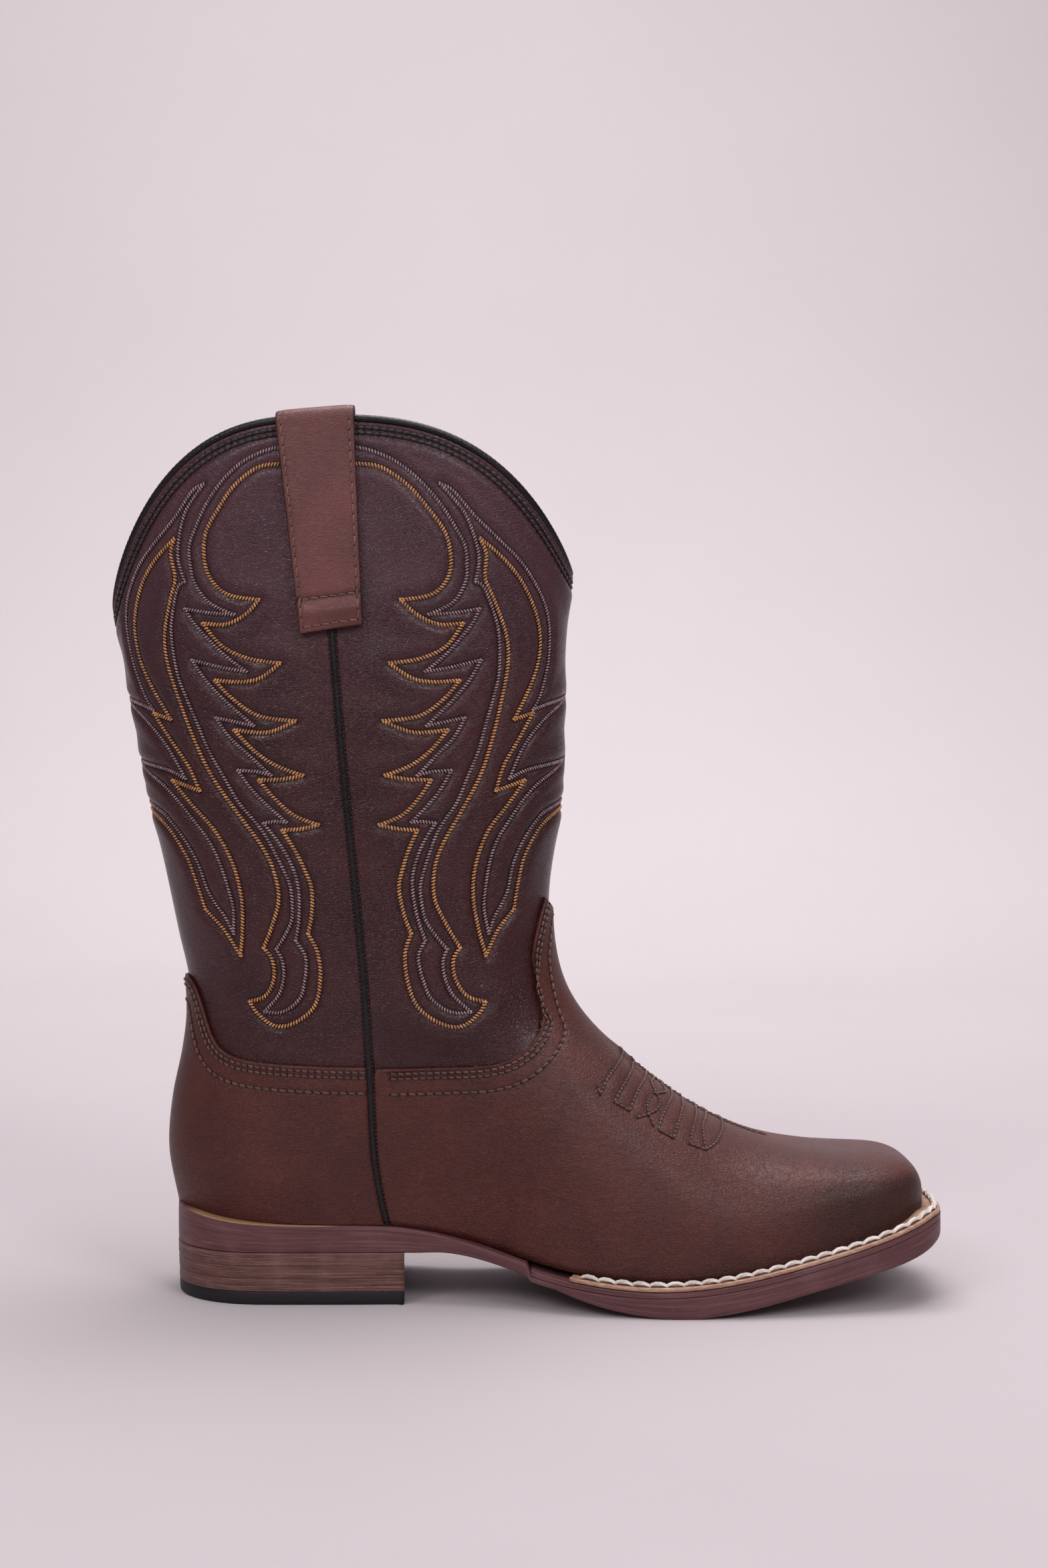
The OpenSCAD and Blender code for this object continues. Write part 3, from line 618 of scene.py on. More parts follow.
def sewn(points, stitches, depth, reach, puff, spread=9.0):
    """How far leather is pulled in along stitches and puffs up between them, and how much painted shade lies
    along the stitches.
    """
    near = distances(points, stitches)
    pull = np.exp(-(near / reach) ** 2)
    rise = (1 - np.exp(-(near / PUFF_START) ** 2)) * np.exp(-(near / spread) ** 2)
    return puff * rise - depth * pull, pull


# ---- Materials ----
def colour(code):
    """A display colour such as "4a2c25" as linear red, green, blue and alpha."""
    values = [int(code[i:i + 2], 16) / 255 for i in (0, 2, 4)]
    return tuple(v / 12.92 if v < 0.04045 else ((v + 0.055) / 1.055) ** 2.4 for v in values) + (1,)


class Look:
    """A material under construction. Lengths in its patterns are in millimetres."""

    def __init__(self, name, **constants):
        self.material = bpy.data.materials.new(name)
        self.material.use_nodes = True
        self.nodes, self.links = self.material.node_tree.nodes, self.material.node_tree.links
        self.shader = self.nodes["Principled BSDF"]
        for socket, value in constants.items():
            self.shader.inputs[socket.replace("_", " ")].default_value = value
        coordinates = self.nodes.new("ShaderNodeTexCoord")
        self.place = coordinates.outputs["Object"]

    def add(self, kind, inputs=None, **settings):
        node = self.nodes.new("ShaderNode" + kind)
        for key, value in settings.items():
            setattr(node, key, value)
        for key, value in (inputs or {}).items():
            socket = node.inputs[key]
            if isinstance(value, bpy.types.NodeSocket):
                self.links.new(value, socket)
            else:
                socket.default_value = value
        return node

    def space(self, scale=(1, 1, 1), warp=0.0, warp_size=5.0):
        """Coordinates in millimetres, stretched by scale, and warped by noise if asked."""
        size = tuple(1000 * s for s in scale)
        place = self.add("Mapping", {"Vector": self.place, "Scale": size}).outputs[0]
        if not warp:
            return place
        noise = self.add("TexNoise", {"Vector": self.place, "Scale": 1000 / warp_size}).outputs["Color"]
        shift = self.add("VectorMath", {0: noise, 1: (0.5, 0.5, 0.5)}, operation="SUBTRACT").outputs[0]
        push = self.add("VectorMath", {0: shift, "Scale": warp}, operation="SCALE").outputs[0]
        return self.add("VectorMath", {0: place, 1: push}, operation="ADD").outputs[0]

    def noise(self, size, detail=3.0, rough=0.5, space=None):
        inputs = {"Vector": space or self.space(), "Scale": 1 / size, "Detail": detail, "Roughness": rough}
        return self.add("TexNoise", inputs).outputs["Fac"]

    def pebbles(self, size, space=None):
        inputs = {"Vector": space or self.space(), "Scale": 1 / size}
        return self.add("TexVoronoi", inputs, feature="DISTANCE_TO_EDGE").outputs["Distance"]

    def ramp(self, value, low, high, to_low=0.0, to_high=1.0):
        inputs = {"Value": value, "From Min": low, "From Max": high, "To Min": to_low, "To Max": to_high}
        return self.add("MapRange", inputs, interpolation_type="SMOOTHSTEP").outputs["Result"]

    def math(self, operation, a, b):
        return self.add("Math", {0: a, 1: b}, operation=operation).outputs[0]

    def mix(self, factor, a, b):
        node = self.add("Mix", {"Factor": factor}, data_type="RGBA")
        for socket, value in ((node.inputs[6], a), (node.inputs[7], b)):
            if isinstance(value, bpy.types.NodeSocket):
                self.links.new(value, socket)
            else:
                socket.default_value = value
        return node.outputs[2]

    def mark(self, word):
        return self.add("Attribute", attribute_name=word).outputs["Fac"]

    def along_layer(self, run, level):
        """Coordinates that follow a bent layer: in millimetres along it, and up through it."""
        flat = self.add("SeparateXYZ", {0: self.space((run, run, run))}).outputs
        height = self.math("MULTIPLY", self.mark("level"), level)
        return self.add("CombineXYZ", {0: flat[0], 1: flat[1], 2: height}).outputs[0]

    def bump(self, *layers):
        """Each layer is (height, depth in millimetres)."""
        normal = None
        for height, depth in layers:
            inputs = {"Height": height, "Distance": depth * 0.001, "Strength": 1.0}
            if normal:
                inputs["Normal"] = normal
            normal = self.add("Bump", inputs).outputs[0]
        self.links.new(normal, self.shader.inputs["Normal"])

    def finish(self, base, roughness=None):
        self.links.new(base, self.shader.inputs["Base Color"])
        if roughness:
            self.links.new(roughness, self.shader.inputs["Roughness"])
        return self.material


def leather(name, base, dark, light, rough=(0.4, 0.54), grain=1.0, sheen=0.0, coat=0.03, gloss=0.32,
            painted_sheen=None):
    """Grained leather: pebbles, faint wrinkles, slightly uneven dye, painted shade in the grain's valleys,
    darker colour where the shade mark asks, and a painted sheen if asked.
    """
    look = Look(name, Specular_IOR_Level=gloss, Sheen_Weight=sheen, Sheen_Roughness=0.5,
                Sheen_Tint=colour("b9a6c0"), Coat_Weight=coat, Coat_Roughness=0.25)
    pebble = look.ramp(look.pebbles(1.15, look.space((0.75, 0.75, 1.15), 1.0, 4.0)), 0.0, 0.2)
    fine = look.noise(0.4, 4, 0.6)
    mottle = look.noise(22, 2, 0.5)
    waves = look.noise(3.0, 4, 0.55, look.space((0.6, 0.6, 1.3), 4.0, 14.0))
    crease = look.ramp(look.math("ABSOLUTE", look.math("SUBTRACT", waves, 0.52), 0), 0.0, 0.03)
    tint = look.mix(look.ramp(mottle, 0.25, 0.75, 0.35, 1), colour(dark), colour(base))
    tint = look.mix(look.ramp(waves, 0.5, 0.8, 0, 0.2), tint, colour(light))
    # Crease lines and the edges between pebbles are darkened: painted shade in the grain's valleys.
    tint = look.mix(look.ramp(crease, 0, 1, 0.3 * grain, 0), tint, colour(dark))
    tint = look.mix(look.ramp(pebble, 0, 1, 0.4 * grain, 0), tint, colour(dark))
    # Painted sheen: the leather grows lighter and bluer with height, standing in for highlights on the upper
    # shaft.
    if painted_sheen:
        tint = look.mix(look.ramp(look.mark("level"), 190, 325, 0, 0.2), tint, colour(painted_sheen))
    # Darkened where a piece's shade mark is: painted shade along stitch grooves and creases, with burnished
    # toe and dyed strap edges on those pieces.
    tint = look.mix(look.ramp(look.mark("shade"), 0, 1, 0, 0.85), tint, colour("160a08"))
    rough_at = look.math("ADD", look.math("MULTIPLY", mottle, 0.4), look.math("MULTIPLY", fine, 0.6))
    look.bump((crease, 0.09 * grain), (pebble, 0.08 * grain), (waves, 0.24 * grain), (fine, 0.015))
    return look.finish(tint, look.ramp(rough_at, 0.3, 0.7, *rough))


def thread(name, base, dark, light, sheen=0.5, rough=0.45, ply=0.22):
    """Twisted thread: each stitch has its own tone, with fine plies."""
    look = Look(name, Specular_IOR_Level=0.45, Sheen_Weight=sheen, Sheen_Roughness=0.35)
    fibre = look.noise(ply, 2, 0.5, look.space((1, 1, 1), 0.2, 1.0))
    tint = look.mix(look.ramp(look.mark("shade"), -1, 1), colour(dark), colour(base))
    tint = look.mix(look.ramp(fibre, 0.45, 0.75, 0, 0.7), tint, colour(light))
    look.bump((fibre, 0.05))
    return look.finish(tint, look.ramp(fibre, 0.3, 0.7, rough - 0.08, rough + 0.1))


def painted_edge(name, base, dark, light, run=0.04, level=2.4, amount=0.8, rough=(0.42, 0.6), trim=None):
    """Cut, sanded and painted leather edges: fine lines and flecks that run along the layers."""
    look = Look(name, Specular_IOR_Level=0.4)
    lines = look.noise(1.0, 5, 0.75, look.along_layer(run, level))
    flecks = look.noise(0.8, 4, 0.7, look.along_layer(0.35, level))
    worn = look.noise(12, 2, 0.4)
    tint = look.mix(look.ramp(lines, 0.36, 0.6), colour(dark), colour(base))
    tint = look.mix(look.ramp(lines, 0.55, 0.7, 0, amount), tint, colour(light))
    tint = look.mix(look.ramp(flecks, 0.56, 0.72, 0, 0.6 * amount), tint, colour(light))
    tint = look.mix(look.ramp(flecks, 0.3, 0.44, 0.5 * amount, 0), tint, colour(dark))
    tint = look.mix(look.ramp(worn, 0.45, 0.8, 0, 0.25), tint, colour(light))
    if trim:
        tint = look.mix(look.mark("shade"), tint, colour(trim))
    look.bump((lines, 0.1), (flecks, 0.06))
    return look.finish(tint, look.ramp(flecks, 0.3, 0.7, *rough))


def rubber(name, base, light):
    look = Look(name, Specular_IOR_Level=0.4)
    grit = look.noise(0.5, 4, 0.65)
    tint = look.mix(look.ramp(grit, 0.45, 0.8, 0, 0.6), colour(base), colour(light))
    look.bump((grit, 0.08))
    return look.finish(tint, look.ramp(grit, 0.3, 0.7, 0.5, 0.7))


def fibre_board(name, base, dark, size=1.2, depth=0.1):
    """Cork, board and stiffener sheet: matt, speckled and a little rough."""
    look = Look(name, Specular_IOR_Level=0.25)
    speck = look.pebbles(size, look.space(warp=0.6, warp_size=2.0))
    cloud = look.noise(6, 3)
    tint = look.mix(look.ramp(speck, 0.02, 0.3), colour(dark), colour(base))
    tint = look.mix(look.ramp(cloud, 0.4, 0.75, 0, 0.4), tint, colour(dark))
    look.bump((speck, depth))
    return look.finish(tint, look.ramp(cloud, 0.3, 0.7, 0.75, 0.92))


def steel(name):
    look = Look(name, Metallic=1.0)
    brushed = look.noise(0.6, 3, 0.6, look.space((0.06, 1, 1)))
    tint = look.mix(brushed, colour("9a9a9e"), colour("c8c8cc"))
    look.bump((brushed, 0.02))
    return look.finish(tint, look.ramp(brushed, 0.3, 0.7, 0.25, 0.42))


LOOKS = {
    "foot_leather": leather("foot_leather", "552821", "391814", "693c34", (0.38, 0.52), 1.0),
    "shaft_leather": leather("shaft_leather", "421b1e", "281214", "5e333a", (0.22, 0.36), 1.0,
                             coat=0.05, gloss=0.33, painted_sheen="745868"),
    "strap_leather": leather("strap_leather", "704140", "502d2b", "885856", (0.33, 0.46), 0.7),
    "piping": leather("piping", "150f11", "0a0708", "2a2225", (0.3, 0.42), 0.4),
    "lining": leather("lining", "8b6c50", "6f533c", "a98a6c", (0.6, 0.75), 0.6, sheen=0.2, coat=0.0),
    "footbed": leather("footbed", "b8977a", "9a7a5c", "cbb092", (0.6, 0.75), 0.6, sheen=0.15, coat=0.0),
    "board": fibre_board("board", "b08c64", "8f6d48", 0.8, 0.06),
    "stiffener": fibre_board("stiffener", "cfc3a0", "aea07c", 1.0, 0.05),
    "cork": fibre_board("cork", "a97c50", "6c4a2c", 1.8, 0.2),
    "spring_steel": steel("spring_steel"),
    "welt": painted_edge("welt", "a98670", "8a6450", "c8ab96", 0.3, 1.4, 0.5),
    "sole_leather": painted_edge("sole_leather", "613a3c", "4a2a2d", "7d5c60", 0.03, 1.6, 0.6,
                                 trim="8e6c4c"),
    "heel_stack": painted_edge("heel_stack", "6b473f", "402824", "906f68", 0.035, 2.0, 1.0),
    "cap_rubber": rubber("cap_rubber", "0e0d12", "1d1b21"),
    "gold_thread": thread("gold_thread", "ca8546", "965c2e", "f0c08c"),
    "mauve_thread": thread("mauve_thread", "a47f84", "705458", "d0b0b4"),
    "brown_thread": thread("brown_thread", "5e382e", "40221c", "865a4a"),
    "dark_thread": thread("dark_thread", "2a1b1a", "150d0d", "4a3632"),
    "tan_thread": thread("tan_thread", "7a4c3c", "55302a", "a87a62"),
    "white_thread": thread("white_thread", "d8d0c8", "b5aaa0", "f4efe8", rough=0.5, ply=0.3),
    # Near-black beads: painted shade inside needle holes.
    "needle_hole_shade": rubber("needle_hole_shade", "080405", "120a0b"),
}


def stand_in(name, points, faces, slot, **rest):
    """A piece that shows the CAD node of its own name, in its slot's look."""
    return piece(name, points, faces, LOOKS[slot], slot, replaces=[name], **rest)


# ---- Camera, floor and lights ----
def make_camera():
    data = bpy.data.cameras.new("camera")
    data.lens, data.sensor_height, data.sensor_fit = 50, 36, "VERTICAL"
    camera = new_object("camera", data)
    camera.location = (-0.0001, -0.8445, 0.194)
    camera.rotation_euler = (np.pi / 2, 0, 0)
    bpy.context.scene.camera = camera


STAGE_HALF, STAGE_FRONT, STAGE_TOP = 7.5, -7.5, 3.0     # metres, like the two below
BEND_START, BEND_R = 1.2, 0.8                           # where the floor turns up, and how wide


def make_stage():
    """A pale floor that curves up into a pale backdrop far behind, with painted shade on the floor in front
    of the boot.
    """
    look = Look("stage", Specular_IOR_Level=0.1)
    cloud = look.noise(160, 4)
    depth = look.add("SeparateXYZ", {0: look.place}).outputs["Y"]
    floor_tint = look.mix(cloud, colour("b8b1b4"), colour("beb7ba"))
    wall_tint = look.mix(cloud, colour("e6dfe1"), colour("eae3e5"))
    tint = look.mix(look.ramp(depth, 0.1, 1.8), floor_tint, wall_tint)
    # Painted shade: out of view, the floor in front of the boot is darker, so the boot reflects and catches
    # less light from there.
    tint = look.mix(look.ramp(depth, -1.1, -0.4, 1, 0), tint, colour("686466"))
    look.bump((cloud, 0.3))
    look.finish(tint, look.ramp(cloud, 0.3, 0.7, 0.8, 0.95))
    turn = np.linspace(0.1, np.pi / 2, 16)
    depths = np.concatenate([np.linspace(STAGE_FRONT, BEND_START, 8), BEND_START + BEND_R * np.sin(turn),
                             np.full(3, BEND_START + BEND_R)])
    heights = np.concatenate([np.zeros(8), BEND_R * (1 - np.cos(turn)),
                              np.linspace(STAGE_TOP / 2, STAGE_TOP, 3)])
    across = np.linspace(-STAGE_HALF, STAGE_HALF, 9)
    shape = (len(depths), len(across))
    points = np.stack([np.broadcast_to(across, shape), np.broadcast_to(depths[:, None], shape),
                       np.broadcast_to(heights[:, None], shape)], -1).reshape(-1, 3)
    floor = new_mesh("floor", points, grid_faces(*shape).tolist(), look.material)


SOFT_WHITE = (1.0, 0.965, 0.98)
BOOT, BOOT_LOW, WALL = (0, 0, 0.15), (0, 0, 0.1), (-0.1, 2.0, 1.3)
LIGHTS = {                # place, target, size in metres, watts
    "top_light": ((0.15, 0.15, 1.5), BOOT_LOW, 1.1, 18),
    "left_light": ((-0.9, -1.3, 1.2), BOOT, 0.6, 8.5),
    "right_light": ((0.9, -1.3, 1.2), BOOT, 0.6, 8.5),
    "front_light": ((-0.2, -1.7, 1.0), BOOT, 0.9, 5.5),
    "backdrop_light": ((-0.1, 0.5, 2.2), WALL, 1.4, 19),
}


def make_world():
    """Soft surrounding light, brighter from above."""
    world = bpy.data.worlds.new("world")
    world.use_nodes = True
    nodes, links = world.node_tree.nodes, world.node_tree.links
    place = nodes.new("ShaderNodeTexCoord")
    split = nodes.new("ShaderNodeSeparateXYZ")
    height = nodes.new("ShaderNodeMapRange")
    height.inputs["From Min"].default_value, height.inputs["From Max"].default_value = -0.1, 0.9
    height.inputs["To Min"].default_value, height.inputs["To Max"].default_value = 0.14, 0.42
    links.new(place.outputs["Generated"], split.inputs[0])
    links.new(split.outputs["Z"], height.inputs["Value"])
    links.new(height.outputs[0], nodes["Background"].inputs["Strength"])
    nodes["Background"].inputs["Color"].default_value = colour("f1e8ef")
    bpy.context.scene.world = world


def make_lights():
    for name, (place, target, size, power) in LIGHTS.items():
        data = bpy.data.lights.new(name, "AREA")
        data.shape, data.size, data.energy, data.color = "SQUARE", size, power, SOFT_WHITE
        light = new_object(name, data)
        light.location = place
        light.rotation_euler = (Vector(target) - Vector(place)).to_track_quat("-Z", "Y").to_euler()
    bpy.context.scene.view_settings.view_transform = "Standard"


# ---- Upper: shaft, foot, linings, cord and bead ----
def band_grid(surface, low, high, cols, rows, off=0.0):
    """Points over a band of the leg, between two heights given as functions of q."""
    q = np.linspace(-1, 1, cols)
    t = np.linspace(0, 1, rows)[:, None]
    z = mix(low(abs(q))[None], high(abs(q))[None], t)
    return surface.at(np.broadcast_to(q, z.shape), z, np.full(z.shape, off))


def last_rows(rows, reach):
    """Weights down a grid's rows: 1 in the last row, fading out over reach rows before it."""
    return np.exp(-(np.arange(rows)[::-1] / reach) ** 2)[:, None, None]


TABLE_STEP = 2.0


def seam_table(front):
    """Distances round the leather from the side seam, by height and by k."""
    z, k = np.arange(80, 336, TABLE_STEP), np.linspace(1, 0, 201)
    points = band_base(*np.broadcast_arrays(-k, z[:, None]), front)
    steps = np.linalg.norm(np.diff(points, axis=1), axis=2)
    return z, k, np.concatenate([np.zeros((len(z), 1)), np.cumsum(steps, axis=1)], 1)


def embroidery_line(line, table, side):
    """Points of a pattern line as (q, z) on the shaft. Lines stop at the panel's centre."""
    heights, k, reach = table
    a, z = line[:, 0], line[:, 1] + TILT * line[:, 0]
    row = np.clip((z - heights[0]) / TABLE_STEP, 0, len(heights) - 1.001)
    low = row.astype(int)
    f = row - low
    at = np.array([mix(np.interp(d, reach[i], k), np.interp(d, reach[i + 1], k), w)
                   for d, i, w in zip(a, low, f)])
    inside = at > 0.002
    return side * at[inside], z[inside]


def embroidery(surface, front, side, arcs, pitch):
    """Even stitch points over the shaft for one quarter, as (points, normals) for each arc."""
    table = seam_table(front)
    rows = []
    for line in smooth_arcs(arcs):
        q, z = embroidery_line(line, table, side)
        if len(q) < 3:
            continue
        points, normals = surface.at(q, z, np.zeros(len(q)))
        even, reach = evenly(points, pitch), reach_along(points)
        at = np.linspace(0, reach[-1], len(even))
        rows.append((even, unit(read_at(at, reach, normals))))
    return rows


def rope(rows, width, radius, sink, sides):
    """Slanted stitches that lie side by side along each row, like a fine rope."""
    parts = []
    for points, normals in rows:
        if len(points) < 3:
            continue
        along = unit(np.gradient(points, axis=0))
        across = unit(np.cross(normals, along))
        slant = unit(0.45 * along + 0.9 * across * sides) * (width / 2 - radius * 0.4)
        lifted = points + normals * (radius * 0.75 - sink)
        parts.append(beads(lifted - slant, lifted + slant, normals, radius, 0.9, 0.28))
    return joined(parts)


# Stitch rows: distances of the rows from an edge, and the length of a stitch.
TOP_ROWS, TOP_PITCH = (1.9, 3.9), 2.8
COLLAR_ROWS, COLLAR_PITCH = (1.7, 3.6), 2.7
OUTER_ROW, OUTER_PITCH = (9.5,), 3.3
INSTEP_PITCH = 2.1
EDGE_ROUND = 0.45      # how far the foot leather's cut edge is rounded off


def inset_rows(edge, normal, into, skin, centre, insets, pitch):
    """Rows of even points at set distances inside an edge, laid on the leather."""
    inward = unit(np.cross(normal, unit(np.gradient(edge, axis=0))))
    inward = np.where(((into - edge) * inward).sum(-1, keepdims=True) < 0, -inward, inward)
    rows = []
    for inset in insets:
        line, _ = skin.drop(edge + inward * inset, centre)
        line = line[distances(line, edge) > 0.93 * inset]
        rows.append(skin.drop(evenly(line, pitch), centre))
    return rows


def stitch_rows(name, rows, radius, look, body="boot", blend=None, **shape):
    """Lockstitch rows and dark beads of painted shade at their needle holes, as two pieces."""
    stitches = [lockstitch(p, n, radius, **shape) for p, n in rows if len(p) > 1]
    dark = [holes(p, n, radius * 0.95) for p, n in rows if len(p) > 1]
    slot = "gold_thread" if look == "tan_thread" else "brown_thread"
    thread_piece(name, stitches, LOOKS[look], slot, body=body, blend=blend)
    thread_piece(name + "_holes", dark, LOOKS["needle_hole_shade"], "brown_thread", body=body, blend=blend)


SHAFT_COLS, SHAFT_ROWS = 225, 217
GOLD_PITCH, GOLD_W, GOLD_R = 1.2, 2.0, 0.36
MAUVE_PITCH, MAUVE_W, MAUVE_R = 1.15, 1.7, 0.31


def top_edge(front, count=420, off=0.0):
    q = np.linspace(-1, 1, count)
    return half(front)[1].at(q, top_z(abs(q), front), np.full(count, off))


def edge_down(line, normals):
    """Directions across the leather from its top edge, downwards."""
    across = unit(np.cross(normals, np.gradient(line, axis=0)))
    return np.where(across[:, 2:] > 0, -across, across)


def sew_embroidery(surface, front, side, word):
    """One quarter's gold and mauve ropes, with dark beads of painted shade at their needle holes. Returns
    the rows' points.
    """
    kinds = (("gold", GOLD_ARCS, GOLD_PITCH, GOLD_W, GOLD_R),
             ("mauve", MAUVE_ARCS, MAUVE_PITCH, MAUVE_W, MAUVE_R))
    marks = []
    for tone, arcs, pitch, width, radius in kinds:
        rows = embroidery(surface, front, side, arcs, pitch)
        points, faces, shade = rope(rows, width, radius, 0.25, side if front else -side)
        slot = tone + "_thread"
        piece(f"{word}_{tone}_embroidery", points, faces, LOOKS[slot], slot, shade=shade)
        # Dark beads beside each rope: painted shade at its needle holes.
        dots = [holes(p + unit(np.cross(n, np.gradient(p, axis=0))) * width * 0.58, n, 0.3)
                for p, n in rows if len(p) > 2]
        thread_piece(f"{word}_{tone}_holes", dots, LOOKS["needle_hole_shade"], slot)
        marks += [p for p, n in rows]
    return marks


def make_shaft_panel(front):
    word, surface = half(front)
    base, normal = band_grid(surface, lambda k: shaft_low_z(k, front), lambda k: top_z(k, front),
                             SHAFT_COLS, SHAFT_ROWS)
    skin = Skin(base[::2, ::2])
    marks = []
    for side, side_word in SIDES.items():
        marks += sew_embroidery(surface, front, side, f"{word}_{side_word}")

    edge, edge_normal = top_edge(front)
    below = edge + edge_down(edge, edge_normal)
    rows = inset_rows(edge, edge_normal, below, skin, leg_axis, TOP_ROWS, TOP_PITCH)
    stitch_rows(f"{word}_top_stitching", rows, 0.55, "dark_thread", length=0.88, bow=0.45)
    marks += [p for p, n in rows]

    shift, pull = sewn(base, np.concatenate(marks), 0.55, 1.25, 1.0)
    thick = SHAFT_T * (1 - 0.3 * last_rows(SHAFT_ROWS, 1.2))
    points, faces = shell(base + normal * shift[..., None], base - normal * thick)
    # Its shade mark is painted shade along the stitch grooves.
    stand_in(f"{word}_shaft_panel", points, faces, "shaft_leather", shade=outer_only(0.75 * pull))


def make_lining(name, skin, normal):
    """A sheet of lining behind the leather, whose outer skin is given as a grid."""
    off = -SHAFT_T - 0.1
    points, faces = shell(skin + normal * off, skin + normal * (off - LINING_T))
    stand_in(name, points, faces, "lining")


def make_shaft_lining(front):
    word, surface = half(front)

    def low(k):
        return shaft_low_z(k, True) if front else heel_edge_z(k) + 0.8

    make_lining(word + "_shaft_lining", *band_grid(surface, low, lambda k: top_z(k, front), 121, 111))


def make_top_bead(front):
    """A rolled edge with fine ribs, laid along the top of shaft and lining."""
    edge, normal = top_edge(front, 420, -(SHAFT_T + LINING_T) / 2)
    up = -edge_down(edge, normal)
    line = edge + up * (BEAD_R - 0.1)
    ribs = 1 + 0.035 * np.sin(np.arange(len(line)) * 2.1)
    points, faces = tube(line, normal * ribs[:, None], up * ribs[:, None], circle(BEAD_R, 14))
    stand_in(half(front)[0] + "_top_bead", points, faces, "piping")


def seam_frame(side, count=360, low=30.5, high=PEAK_Z + 1.2):
    """The side seam's line over the leather, with its direction and outward normal."""
    z = np.linspace(low, high, count)
    x = curve(SEAM_LINE, z)
    h = skin_h(x, z, side)
    points = np.stack([x, side * h, z], -1)
    e = 0.4
    hx = (skin_h(x + e, z, side) - skin_h(x - e, z, side)) / (2 * e)
    hz = (skin_h(x, z + e, side) - skin_h(x, z - e, side)) / (2 * e)
    normal = unit(np.stack([-hx, side * np.ones_like(z), -hz], -1))
    raised = 0.2 + 1.1 * ease((94 - z) / 8)
    return points + normal * raised[:, None], normal, unit(np.gradient(points, axis=0))


def make_seam_piping(side):
    """Piping in the side seam, with the zigzag thread that closes it showing on both sides."""
    line, normal, along = seam_frame(side)
    across = unit(np.cross(along, normal))
    points, faces = tube(line, across, normal, circle(CORD_R, 14, 0.8))
    stand_in(f"{SIDES[side]}_seam_piping", points, faces, "piping")
    parts = []
    for edge in (-CORD_R, CORD_R):
        rows = evenly(line + across * edge - normal * 0.05, 1.5)
        lifted = read_at(rows[:, 2], line[:, 2], normal)
        parts.append(lockstitch(rows, lifted, 0.2, 0.7, lean=0.12))
    thread_piece(f"{SIDES[side]}_seam_thread", parts, LOOKS["dark_thread"], "brown_thread")


def vamp_rings():
    """Ring positions, closer together at the toe, where the leather turns."""
    toe = TOE_SHARE * (np.arange(1, 40) / 40) ** 1.7
    return np.concatenate([[2e-4], toe, np.linspace(TOE_SHARE, 2, 260)])


def foot_sheet(surface, rings, v):
    """The foot's skin as a grid, with its folds ironed out, and the grid's normals."""
    grid_s, grid_v = np.broadcast_arrays(rings[:, None], v[None])
    skin, normal = surface.at(grid_s, grid_v, np.zeros(grid_s.shape))
    weight = ease((rings - TOE_SHARE) / 0.1)
    skin = ironed(skin, weight)
    return skin, unit(mix(normal, grid_normals(skin, foot_axis), weight[:, None, None]))


def collar_stitching(word, edge, normal, into, skin, centre):
    """Two close rows along a collar and a third further in. Returns all their points."""
    near = inset_rows(edge, normal, into, skin, centre, COLLAR_ROWS, COLLAR_PITCH)
    stitch_rows(word + "_collar_stitching", near, 0.42, "brown_thread", length=0.85, lean=0.15)
    far = inset_rows(edge, normal, into, skin, centre, OUTER_ROW, OUTER_PITCH)
    stitch_rows(word + "_outer_row", far, 0.45, "brown_thread", length=0.8, lean=0.15)
    return np.concatenate([p for p, n in near + far])


def instep_stitching(skin, raised):
    rows = []
    for side in SIDES:
        for arcs in INSTEP_ARCS:
            for line in smooth_arcs(arcs):
                h = skin_h(line[:, 0], line[:, 1], side) + raised
                points = evenly(np.stack([line[:, 0], side * h, line[:, 1]], -1), INSTEP_PITCH)
                if len(points) > 1:
                    rows.append(skin.drop(points, foot_axis))
    stitch_rows("instep_stitching", rows, 0.4, "brown_thread", length=0.75)
    return np.concatenate([p for p, n in rows])


def burnish_and_painted_shade(points, normal):
    """Darker colour round the sides of the toe where they face sideways, partly burnished dye and partly
    painted shade, and darker in a band just above the welt.
    """
    x, z = points[..., 0], points[..., 2]
    toe = 0.6 * ease((x - 205) / 60) * (1 - ease((normal[..., 2] - 0.5) / 0.4))
    edge = 0.38 * ease((x - 130) / 40) * (1 - ease((z - feather(np.minimum(x, TOE_LIP_X))) / 16))
    return np.maximum(toe, edge)


def make_vamp():
    rings = vamp_rings()
    v = np.linspace(-1, 1, 241)
    v = np.sign(v) * abs(v) ** 1.15
    raised = LAYER_GAP + VAMP_T
    sheet, normal = foot_sheet(VAMP, rings, v)
    base = sheet + raised * normal
    skin = Skin(base)
    collar = abs(v) < 1 - CORNER - 0.02
    edge, into = base[-1, collar], base[-4, collar]
    marks = [collar_stitching("vamp", edge, normal[-1, collar], into, skin, foot_axis),
             instep_stitching(skin, raised)]
    shift, pull = sewn(base, np.concatenate(marks), 0.38, 0.95, 0.12, 4.0)
    outer = base + normal * (shift[..., None] - EDGE_ROUND * last_rows(len(rings), 1.3))
    points, faces = shell(outer, sheet + LAYER_GAP * normal)
    # Shade mark: painted shade along the stitch grooves, the darker toe sides (partly painted shade) and the
    # band above the welt.
    shade = np.maximum(0.8 * pull, burnish_and_painted_shade(base, normal))
    stand_in("vamp", points, faces, "foot_leather", shade=outer_only(shade))


